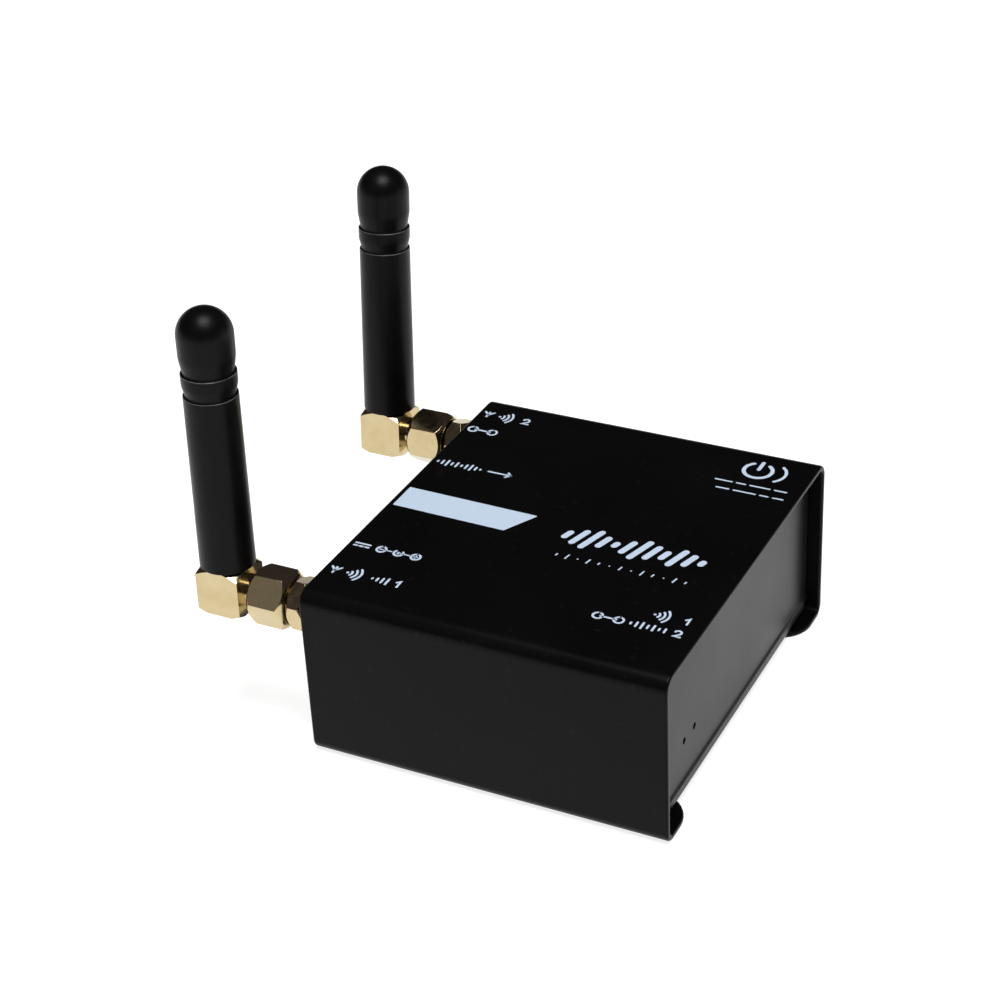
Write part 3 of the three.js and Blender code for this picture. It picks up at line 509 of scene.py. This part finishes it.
def build_pan():
    rear, front = pan_low.x, pan_high.x
    inner = PAN_BEND - SHEET
    half = pan_high.y
    proud, foot_low, foot_high = PAN_FOOT
    plate = front - proud
    outline = softened([
        (rear, 0, PAN_BEND), (front, 0, PAN_BEND), (front, foot_low, 0.15), (plate, foot_high, 0.3),
        (plate, pan_high.z, SOFT_EDGE), (plate - SHEET, pan_high.z, SOFT_EDGE),
        (plate - SHEET, foot_high, 0.1),
        (front - SHEET, foot_low, 0.1), (front - SHEET, SHEET, inner), (rear + SHEET, SHEET, inner),
        (rear + SHEET, pan_high.z, SOFT_EDGE), (rear, pan_high.z, SOFT_EDGE),
    ])
    pan = prism("chassis_pan_shell", outline, -half, half, "Y")
    width, height = PAN_NOTCH
    tools = [block("waste", (rear - 1, side * half - width, -1), (front + 1, side * half + width, height))
             for side in (-1, 1)]

    def hole(kind, x, centre):
        tools.append(rod("waste", HOLE[kind], x - 2 * SHEET, x + 2 * SHEET, "X", (0, centre.y, centre.z)))

    for number in (1, 2):
        hole("jack", rear, swivel(number))
        light_high = span(f"status_light_{number}")[1]
        hole("light", plate, Vector((0, middle(f"status_light_{number}").y, light_high.z - LIGHT_HALF)))
    hole("button", rear, middle("pairing_button"))
    hole("audio", rear, middle("audio_jack_barrel"))
    hole("power", rear, middle("power_jack_pin"))
    for number in range(1, 5):
        centre = middle(f"standoff_{number}")
        tools.append(rod("waste", 1.6, -1, 2, "Z", (centre.x, centre.y, 0), 32))
    collars = []
    for number in range(1, 5):
        centre = middle(f"case_screw_{number}")
        ring = [(1.3, 0.5), (2.1, 0.5), (2.1, 2.2), (1.3, 2.2)]
        collars.append(lathe("collar", ring, "Z", (centre.x, centre.y, 0), 32))
        tools.append(rod("waste", 1.3, -1, 4, "Z", (centre.x, centre.y, 0), 32))
    combine(pan, "UNION", *collars)
    combine(pan, "DIFFERENCE", *tools)
    # The pan takes the lighter copy of the powder coat, painted light for its front plate.
    dress(pan, "root", "powder_coated_steel", ["chassis_pan"], 0.08, 38, materials["pan"])


def build_case_screw(number):
    low, high = span(f"case_screw_{number}")
    centre = (low + high) / 2
    profile = softened([(0, low.z), (2.15, low.z, 0.08), (1.2, low.z + 0.9, 0.1), (1.2, high.z, 0.2),
                        (0, high.z)], closed=False)
    screw = lathe("screw", profile, "Z", (centre.x, centre.y, 0), 48)
    screw.name = f"case_screw_{number}_turned"
    arms = []
    for across, along in ((1.1, 0.28), (0.28, 1.1)):
        arms.append(block("waste", (centre.x - across, centre.y - along, low.z - 1),
                          (centre.x + across, centre.y + along, low.z + 0.6)))
    combine(screw, "DIFFERENCE", *arms)
    dress(screw, "root", "plain_steel", [f"case_screw_{number}"], 0.03, 40)


# ---------------------------------------------------------------- rear connectors

def build_power_jack():
    low, high = span("power_jack_housing")
    pin_low, pin_high = span("power_jack_pin")
    centre = (0, (pin_low.y + pin_high.y) / 2, (pin_low.z + pin_high.z) / 2)
    rear = pan_low.x
    face = rear + SHEET + 0.05
    housing = block("power_jack", (face, low.y, low.z), (high.x, high.y, high.z))
    nose = rod("nose", 3.9, rear, face + 1, "X", centre)
    combine(housing, "UNION", nose)
    bore = softened([(0, rear - 1), (3.6, rear - 1), (3.6, rear), (3.15, rear + 0.5), (3.15, rear + 9.5),
                     (0, rear + 9.5)], closed=False)
    pin_way = rod("waste", 1.1, rear, rear + 11.1, "X", centre, 48)
    combine(housing, "DIFFERENCE", lathe("waste", bore, "X", centre), pin_way)
    dress(housing, "root", "black_plastic", ["power_jack_housing"], 0.1, 35)
    radius = 1.05
    profile = softened([(0, pin_low.x), (radius, pin_low.x, 0.45), (radius, pin_high.x), (0, pin_high.x)],
                       closed=False)
    pin = lathe("power_jack_centre_pin", profile, "X", centre, 48)
    slit = block("waste", (pin_low.x - 1, centre[1] - 0.12, centre[2] - 2),
                 (pin_low.x + 4, centre[1] + 0.12, centre[2] + 2))
    combine(pin, "DIFFERENCE", slit)
    dress(pin, "root", "plain_steel", ["power_jack_pin"], 0.03, 40)


def build_audio_jack():
    low, high = span("audio_jack_barrel")
    centre = (0, (low.y + high.y) / 2, (low.z + high.z) / 2)
    outer, bore = 3.0, 1.8
    profile = softened([(bore, low.x, 0.18), (outer, low.x, 0.15), (outer, high.x), (bore, high.x)])
    bush = lathe("audio_jack_bush", profile, "X", centre, 72)
    dress(bush, "root", "black_plastic", ["audio_jack_barrel"], 0)
    contact_profile = softened([(bore - 0.12, high.x + 1.2, 0.05), (bore - 0.02, high.x + 1.2, 0.05),
                                (bore - 0.02, high.x + 6, 0.05), (bore - 0.12, high.x + 6, 0.05)])
    sleeve = lathe("audio_jack_sleeve_contact", contact_profile, "X", centre, 48)
    dress(sleeve, "root", "plain_steel", [], 0)


def build_button():
    low, high = span("pairing_button")
    centre = (0, (low.y + high.y) / 2, (low.z + high.z) / 2)
    step = pan_low.x + SHEET + 0.1
    profile = softened([(0, low.x + 0.12), (0.9, low.x + 0.06, 0.6), (1.5, low.x, 0.3), (1.5, step, 0.05),
                        (1.9, step, 0.1), (1.9, high.x, 0.1), (0, high.x)], closed=False)
    button = lathe("pairing_plunger", profile, "X", centre, 64)
    dress(button, "pairing_button", "black_plastic", ["pairing_button"], 0)


# ---------------------------------------------------------------- antenna jacks

def jack_place(number):
    """Axis height and side of a jack, and its shoulder. Depths outwards from it are -X."""
    axis = swivel(number)
    return Matrix.Translation((span(f"jack_{number}_lock_washer")[0].x, axis.y, axis.z)) \
        @ Matrix.Diagonal((-1, 1, 1, 1))


def add_thread(bm, radius, depth, low, high, pitch=0.7056, steps=36):
    """One helical ridge about the X axis, from low to high."""
    section = [(-0.46, -depth - 0.1), (-0.08, 0), (0.08, 0), (0.46, -depth - 0.1)]
    turns = (high - low - 0.92 * pitch) / pitch
    count = int(turns * steps)
    rings = []
    for i in range(count + 1):
        angle = 2 * math.pi * i / steps
        run_out = min(1, i / 9, (count - i) / 9)
        along = low + 0.46 * pitch + pitch * i / steps
        ring = []
        for offset, rise in section:
            reach = radius + max(-depth - 0.1, rise - depth * (1 - run_out))
            around = (reach * math.cos(angle), reach * math.sin(angle))
            ring.append(bm.verts.new((along + offset * pitch, *around)))
        rings.append(ring)
    for one, other in zip(rings, rings[1:]):
        for i in range(4):
            bm.faces.new((one[i], one[(i + 1) % 4], other[(i + 1) % 4], other[i]))
    bm.faces.new(rings[0])
    bm.faces.new(rings[-1])


def turned_hexagon(name, flats, low, high, corner, bevel, edge, matrix):
    """A hexagonal bar about X whose corners are turned off at both ends at 45 degrees."""
    bar = prism(name, hexagon(flats, corner, edge), low, high, "X", matrix)
    end = flats / 2 - bevel
    wide = flats / math.sqrt(3) + 0.1
    rise = wide - end
    barrel = lathe("barrel", [(0, low), (end, low), (wide, low + rise), (wide, high - rise), (end, high),
                              (0, high)], "X", steps=96, matrix=matrix)
    return combine(bar, "INTERSECT", barrel)


def build_jack(number):
    place, j = jack_place(number), JACK
    core = j["thread"] - j["thread_depth"]
    profile = softened([
        (j["cable_bore"], j["tail_end"]), (j["tail"], j["tail_end"], 0.1), (j["tail"], j["thread_start"]),
        (core, j["thread_start"], 0.15), (core, 0), (j["shoulder"], 0, 0.1),
        (j["shoulder"], j["shoulder_end"]),
        (core, j["shoulder_end"]), (core, j["thread_end"], 0.2), (j["mouth"], j["thread_end"], 0.15),
        (j["mouth"], j["mouth_start"]), (j["bore"], j["mouth_start"]), (j["bore"], j["bore_start"]),
        (j["cable_bore"], j["bore_start"]),
    ])
    body = lathe(f"jack_{number}_turned", profile, "X", steps=72, matrix=place)
    flange = turned_hexagon("flange", j["flats"], j["hex_start"], j["hex_end"], j["hex_corner"],
                            j["hex_bevel"], 0.12, place)
    bore = rod("waste", 2.5, 0, 5, "X", matrix=place)
    combine(flange, "DIFFERENCE", bore)
    combine(body, "UNION", flange)
    bm = bmesh.new()
    add_thread(bm, j["thread"], j["thread_depth"], 3.55, 7.75)
    add_thread(bm, j["thread"], j["thread_depth"], -4.9, -0.05)
    ridges = as_object("ridges", bm, place)
    bm = bmesh.new()
    bm.from_mesh(body.data)
    bm.from_mesh(ridges.data)
    bm.to_mesh(body.data)
    bm.free()
    bpy.data.objects.remove(ridges)
    dress(body, "root", "gold_plated_brass", [f"jack_{number}_body"], 0.05, 34)


def build_lock_washer(number):
    place = jack_place(number)
    low, high = span(f"jack_{number}_lock_washer")
    thickness = high.x - low.x
    profile = softened([(3.25, -thickness, 0.08), (4.28, -thickness, 0.14), (4.28, 0, 0.14), (3.25, 0, 0.08)])
    washer = lathe(f"lock_washer_{number}_split", profile, "X", steps=72, matrix=place)
    slot = prism("waste", [(-0.45, 2.6), (0.15, 2.6), (0.45, 6), (-0.15, 6)], -thickness - 1, 1, "X", place)
    combine(washer, "DIFFERENCE", slot)
    dress(washer, "root", "gold_plated_brass", [f"jack_{number}_lock_washer"], 0.04, 40)


# ---------------------------------------------------------------- antennas

def leaning(number):
    """From the antenna's own frame, +Z up its whip, to the row frame."""
    return Matrix.Translation(swivel(number)) @ Matrix.Rotation(-math.radians(LEAN[number]), 4, "X")


def build_coupling_nut(number):
    place = jack_place(number)
    low, high, bore, lip_bore = NUT["start"], NUT["end"], NUT["bore"], NUT["lip_bore"]
    nut = turned_hexagon(f"coupling_nut_{number}_turned", NUT["flats"], low, high, NUT_CORNER[number],
                         NUT["bevel"], 0.2, place)
    lip = high - NUT["lip"]
    way = softened([(0, low - 1), (bore + 0.25, low - 1), (bore + 0.25, low), (bore, low + 0.3), (bore, lip),
                    (lip_bore, lip), (lip_bore, high + 1), (0, high + 1)], closed=False)
    combine(nut, "DIFFERENCE", lathe("waste", way, "X", steps=72, matrix=place))
    dress(nut, f"coupling_nut_{number}", "gold_plated_brass", [f"antenna_{number}_coupling_nut"], 0.07, 12)


def build_elbow(number):
    """A square block with its corners turned off above and below, a neck and a spigot."""
    place, e = leaning(number), ELBOW
    half, below, above, reach = e["half"], e["below"], e["above"], e["reach"]
    cube = block(f"elbow_{number}_milled", (-half, -half, below), (half, half, above), place)
    barrel = lathe("barrel", [
        (0, below), (e["bottom_end"], below), (reach, below + (reach - e["bottom_end"]) / e["slope"]),
        (reach, above - (reach - e["top_end"]) / e["slope"]), (e["top_end"], above), (0, above),
    ], "Z", steps=120, matrix=place)
    combine(cube, "INTERSECT", barrel)
    out = place @ Matrix.Translation((e["centre"], 0, 0)) @ Matrix.Diagonal((-1, 1, 1, 1))
    tip, tip_end, radius, start, root = e["tip"], e["tip_end"], e["neck"], e["neck_end"], e["neck_root"]
    groove_start, groove_end, groove = e["groove"]
    neck = lathe("neck", softened([
        (0, tip_end), (tip, tip_end, 0.12), (tip, start, 0.05), (radius, start, 0.08),
        (radius, groove_start, 0.02), (groove, groove_start), (groove, groove_end),
        (radius, groove_end, 0.06), (radius, root), (0, root),
    ], closed=False), "X", steps=72, matrix=out)
    spigot = lathe("spigot", softened([
        (0, above - 1), (e["spigot"], above - 1), (e["spigot"], e["spigot_top"], 0.3), (0, e["spigot_top"]),
    ], closed=False), "Z", steps=48, matrix=place)
    combine(cube, "UNION", neck, spigot)
    pin_way = rod("waste", e["bore"], tip_end - 1, e["bore_end"], "X", steps=48, matrix=out)
    wire_way = rod("waste", e["wire_way"], 0, e["spigot_top"] + 1, "Z", steps=48, matrix=place)
    combine(cube, "DIFFERENCE", pin_way, wire_way)
    dress(cube, f"antenna_{number}", "gold_plated_brass", [f"antenna_{number}_elbow"], 0.07, 20)


def build_whip(number):
    """The moulded sleeve: two tiers, each tucked in at its foot, and a domed cap."""
    rim, cap, dome_base, crown = WHIP["rim"], WHIP["cap"], WHIP["dome_base"], WHIP["crown"]
    (tier, step_one), (band, step_two) = WHIP["tiers"]
    sides = softened([
        (2.6, 4.1), (4.18, 4.1, 0.12), (4.16, 8.0, 20), (tier, step_one, rim), (3.72, step_one, 0.05),
        (3.74, 32.2, 0.2), (4.08, 33.6, 2.5), (band, step_two, rim), (3.74, step_two, 0.05),
        (3.77, 35.7, 0.2), (4.13, 37.8, 5), (cap, dome_base),
    ], closed=False)
    turns = [math.radians(angle) for angle in range(6, 90, 6)]
    dome = [(cap * math.cos(turn), dome_base + (crown - dome_base) * math.sin(turn)) for turn in turns]
    outside = [tuple(point) for point in sides] + dome
    profile = [(0, crown)] + outside[::-1] + [(2.6, 39.6), (1.6, 40.6), (0, 40.6)]
    whip = lathe(f"whip_{number}_sleeve", profile, "Z", steps=96, matrix=leaning(number))
    dress(whip, f"antenna_{number}", "antenna_rubber", [f"antenna_{number}_whip"], 0)
    # Each tier gets a thin lighter ring at its rim: a painted highlight.
    for place, (radius, height) in enumerate(WHIP["tiers"], 1):
        build_tier_highlight_rim(number, place, radius, height)


def build_tier_highlight_rim(number, tier, radius, height):
    """A thin ring along a tier's upper edge, coloured lighter than the rubber as a painted highlight."""
    thin = WHIP["highlight_ring"]
    turns = [math.radians(15 * i) for i in range(24)]
    section = [(radius - 0.01 - thin * (1 - math.cos(turn)), height - 0.01 - thin * (1 - math.sin(turn)))
               for turn in turns]
    rim = lathe(f"whip_{number}_tier_{tier}_rim", section, "Z", steps=96, matrix=leaning(number))
    dress(rim, f"antenna_{number}", "antenna_rubber", [], 0, material=materials["painted_highlight_rubber"])


# ---------------------------------------------------------------- print on the roof

INK_THICKNESS = 0.02


def ribbon(points, width, steps=6):
    """The outline of a stroke with round ends along a line of points."""
    line = [Vector(p) for p in points]
    half = width / 2
    left, right = [], []
    for i, here in enumerate(line):
        before = (here - line[i - 1]).normalized() if i else None
        after = (line[i + 1] - here).normalized() if i < len(line) - 1 else None
        along = ((before or after) + (after or before)).normalized()
        across = Vector((-along.y, along.x))
        stretch = 1 / max(0.5, across.dot(Vector((-(after or before).y, (after or before).x))))
        left.append(here + across * half * stretch)
        right.append(here - across * half * stretch)

    def cap(centre, start):
        return [centre + rotated(start, -math.pi * k / steps) for k in range(1, steps)]

    return left + cap(line[-1], left[-1] - line[-1]) + right[::-1] + cap(line[0], right[0] - line[0])


def arc(centre, radius, start, end, steps=16):
    angles = [math.radians(start + (end - start) * i / steps) for i in range(steps + 1)]
    return [(centre[0] + radius * math.cos(a), centre[1] + radius * math.sin(a)) for a in angles]


class Legend:
    """Strokes laid out from a left end and a base line on the roof, X along and Y up the text."""

    def __init__(self, name, x, y, height, weight):
        self.name, self.x, self.y = name, x, y
        self.height, self.weight = height, weight
        self.bm = bmesh.new()

    def outline(self, points):
        top = cover_high.z
        placed = [(self.x + u, self.y + v) for u, v in points]
        add_prism(self.bm, placed, top - INK_THICKNESS, top + INK_THICKNESS)

    def stroke(self, points, weight=None):
        self.outline(ribbon(points, weight or self.weight))

    def dot(self, centre, radius):
        self.outline(arc(centre, radius, 0, 345, 23))

    def ring(self, centre, radius, gap=0):
        """A circle stroke, closed by two halves that meet, or open by a gap in degrees."""
        self.stroke(arc(centre, radius, 90 + gap / 2, 450 - gap / 2 - 0.5, 40))

    def waves(self, left, count, spacing, reach=42):
        """Arcs that spread to the right of a dot."""
        centre = (left, self.height / 2)
        self.dot(centre, self.weight * 0.62)
        for i in range(1, count + 1):
            self.stroke(arc(centre, spacing * i, -reach, reach, 10))

    def mast(self, left):
        """An antenna: an upright with two arms."""
        top, half = self.height - self.weight / 2, 0.42 * self.height
        self.stroke([(left + half, self.weight / 2), (left + half, top)])
        self.stroke([(left, top), (left + half, 0.42 * self.height), (left + 2 * half, top)])

    def figure_one(self, left):
        top = self.height - self.weight / 2
        self.stroke([(left, top - 0.42), (left + 0.5, top), (left + 0.5, self.weight / 2)])

    def figure_two(self, left):
        radius = 0.27 * self.height
        bend = arc((left + radius, self.height - radius - self.weight / 2), radius, 165, -40, 12)
        self.stroke(bend + [(left + self.weight / 3, self.weight / 2),
                            (left + 2.3 * radius, self.weight / 2)])

    def link(self, left, length):
        """Two rings of a chain."""
        radius = 0.5 * self.height - self.weight / 2
        for centre in (left + radius, left + length - radius):
            self.ring((centre, self.height / 2), radius)
        middle = self.height / 2
        self.stroke([(left + 1.55 * radius, middle), (left + length - 1.55 * radius, middle)])

    def bars(self, left, heights, pitch, slant=0.0):
        """Upright round-ended bars about the middle line, as in a sound wave."""
        centre = self.height / 2
        for i, share in enumerate(heights):
            half = max(0.01, share * self.height / 2 - self.weight / 2)
            x = left + i * pitch
            self.stroke([(x - slant * half, centre - half), (x + slant * half, centre + half)])

    def arrow(self, left, length):
        middle_line = self.height / 2
        self.stroke([(left, middle_line), (left + length, middle_line)])
        head = 0.36 * self.height
        self.stroke([(left + length - head, middle_line + head), (left + length, middle_line),
                     (left + length - head, middle_line - head)])

    def dashes(self, lengths, gap):
        """A line of plain dashes that stands for small print."""
        x = self.weight / 2
        for length in lengths:
            self.stroke([(x, self.height / 2), (x + length, self.height / 2)])
            x += length + gap

    def put(self):
        piece = as_object(self.name, self.bm)
        piece.data.materials.append(materials["ink"])
        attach(piece, "root")


def on_roof(x, y):
    """A place on the roof, given from its rear corner on the side of antenna 1."""
    return cover_low.x + x, cover_low.y + y


def print_connector_legends():
    height, weight = 1.85, 0.36
    legend = Legend("legend_antenna_2", *on_roof(0.9, 56.6), height, weight)
    legend.mast(0.2)
    legend.waves(3.1, 3, 0.72)
    legend.figure_two(7.2)
    legend.put()
    legend = Legend("legend_pairing", *on_roof(0.9, 51.4), height, weight)
    legend.link(0.1, 4.9)
    legend.put()
    legend = Legend("legend_audio_output", *on_roof(0.9, 40.2), height, weight)
    legend.bars(0.4, [0.35, 0.7, 1, 0.55, 0.85, 0.4, 0.75, 1, 0.6, 0.3], 0.82)
    legend.arrow(9.2, 3.8)
    legend.put()
    legend = Legend("legend_power", *on_roof(1.0, 14.0), height, weight)
    legend.stroke([(0.2, 1.25), (2.6, 1.25)])
    for start in (0.2, 1.15, 2.1):
        legend.stroke([(start, 0.55), (start + 0.5, 0.55)])
    for centre in (4.6, 10.3):
        legend.ring((centre, 0.92), 0.72)
        legend.stroke([(centre - 0.3, 0.92), (centre + 0.3, 0.92)], 0.24)
    legend.stroke([(10.3, 0.62), (10.3, 1.22)], 0.24)
    legend.ring((7.45, 0.92), 0.72, 100)
    legend.dot((7.45, 0.92), 0.3)
    legend.stroke([(5.35, 0.92), (6.3, 0.92)], 0.24)
    legend.stroke([(7.6, 0.92), (9.5, 0.92)], 0.24)
    legend.put()
    legend = Legend("legend_antenna_1", *on_roof(1.0, 6.6), height, weight)
    legend.mast(0.2)
    legend.waves(3.1, 3, 0.72)
    legend.bars(7.2, [0.3, 0.55, 0.8, 1], 0.8)
    legend.figure_one(11.0)
    legend.put()


def print_light_legends():
    height, weight = 1.75, 0.34
    legend = Legend("legend_light_1", *on_roof(48.9, 13.5), height, weight)
    legend.waves(0.4, 3, 0.7)
    legend.figure_one(4.9)
    legend.put()
    legend = Legend("legend_light_2", *on_roof(41.2, 10.3), height, weight)
    legend.link(0.1, 4.6)
    legend.bars(5.8, [0.4, 0.8, 1, 0.6, 0.9, 0.45, 0.7], 0.85)
    legend.figure_two(12.3)
    legend.put()


def print_marks():
    mark = Legend("mark_sound_wave", *on_roof(28.3, 26.1), 5.7, 1.05)
    mark.bars(0.9, [0.42, 0.78, 1, 0.6, 0.3, 0.68, 1, 0.74, 0.46, 0.88, 0.62, 0.3], 1.93, 0.3)
    mark.put()
    line = Legend("mark_underline", *on_roof(29.5, 22.7), 1.3, 0.26)
    line.bars(0.5, [0.5, 1, 0.2, 1, 0.5, 0.2, 0.8, 0.2, 1, 0.6, 0.2, 1, 0.5], 1.68, 0.2)
    line.put()
    badge = Legend("mark_badge", *on_roof(45.6, 54.1), 5.2, 0.62)
    badge.ring((2.9, 2.6), 2.2, 70)
    badge.stroke([(2.9, 2.9), (2.9, 5.1)])
    badge.stroke(arc((4.4, 2.6), 2.9, -50, 50, 12), 0.5)
    badge.put()
    for name, x, y, lengths in (("mark_line_1", 43.2, 51.5, (2.6, 1.3, 3.1, 1.8)),
                                ("mark_line_2", 44.2, 49.3, (1.9, 3.4, 1.2, 1.5))):
        small = Legend(name, *on_roof(x, y), 1.2, 0.34)
        small.dashes(lengths, 0.85)
        small.put()


def print_label():
    """The blank white area for a handwritten name."""
    label = Legend("label_area", *on_roof(0, 0), 0, 0)
    label.outline(softened([(1.0, 32.4, 0.15), (1.0, 26.8, 0.15), (19.9, 26.4, 0.15), (22.9, 31.95, 0.15)]))
    label.put()


# ---------------------------------------------------------------- carried-over nodes

def finish_carried_nodes():
    """Gives the CAD nodes that stay the material of their slot."""
    slots = {part["node"]: part["material_slot"] for part in record["subparts"]}
    for name, node in frame["nodes"].items():
        if node.hide_render:
            continue
        node.data.materials.clear()
        node.data.materials.append(materials[slots[name]])


# ---------------------------------------------------------------- studio

def add_floor():
    bpy.ops.mesh.primitive_plane_add(size=12, location=(0, 0, cad_box[0][2]))
    floor = bpy.context.object
    floor.name = "studio_floor"
    floor.data.materials.append(light_table("studio_floor"))


def add_softbox(name, place, size, radiance):
    light = bpy.data.lights.new(name, "AREA")
    light.shape = "RECTANGLE"
    light.size, light.size_y = size
    light.energy = radiance * math.pi * size[0] * size[1]
    lamp = bpy.data.objects.new(name, light)
    lamp.location = place
    target = Vector((0, 0, 0.01))
    lamp.rotation_euler = (target - lamp.location).to_track_quat("-Z", "Y").to_euler()
    bpy.context.scene.collection.objects.link(lamp)


def add_camera():
    """The photograph's viewpoint."""
    azimuth, elevation, roll = (math.radians(a) for a in (27.832, 30.848, -3.046))
    camera = bpy.data.objects.new("camera", bpy.data.cameras.new("camera"))
    camera.data.lens = 81.15
    camera.data.sensor_width = 36
    camera.data.clip_start = 0.01
    turn = Matrix.Rotation(azimuth, 4, "Z") @ Matrix.Rotation(math.pi / 2 - elevation, 4, "X") \
        @ Matrix.Rotation(roll, 4, "Z")
    camera.matrix_world = Matrix.Translation((0.12379, -0.25668, 0.20193)) @ turn
    bpy.context.scene.collection.objects.link(camera)
    bpy.context.scene.camera = camera


def add_studio():
    add_camera()
    add_floor()
    add_softbox("overhead", (0.12, -0.17, 0.95), (0.5, 0.5), 12.0)
    add_softbox("left_fill", (-0.44, -0.75, 0.66), (0.5, 0.4), 0.2)
    add_softbox("right_fill", (0.95, 0.35, 0.16), (0.3, 0.25), 1.4)
    world = bpy.data.worlds.new("studio")
    world.use_nodes = True
    world.node_tree.nodes["Background"].inputs["Color"].default_value = (0.04, 0.034, 0.04, 1)
    bpy.context.scene.world = world
    bpy.context.scene.view_settings.view_transform = "Standard"


# ---------------------------------------------------------------- everything

add_studio()
build_cover()
build_pan()
for screw_number in range(1, 5):
    build_case_screw(screw_number)
build_power_jack()
build_audio_jack()
build_button()
for antenna_number in (1, 2):
    build_jack(antenna_number)
    build_lock_washer(antenna_number)
    build_coupling_nut(antenna_number)
    build_elbow(antenna_number)
    build_whip(antenna_number)
print_connector_legends()
print_light_legends()
print_marks()
print_label()
finish_carried_nodes()
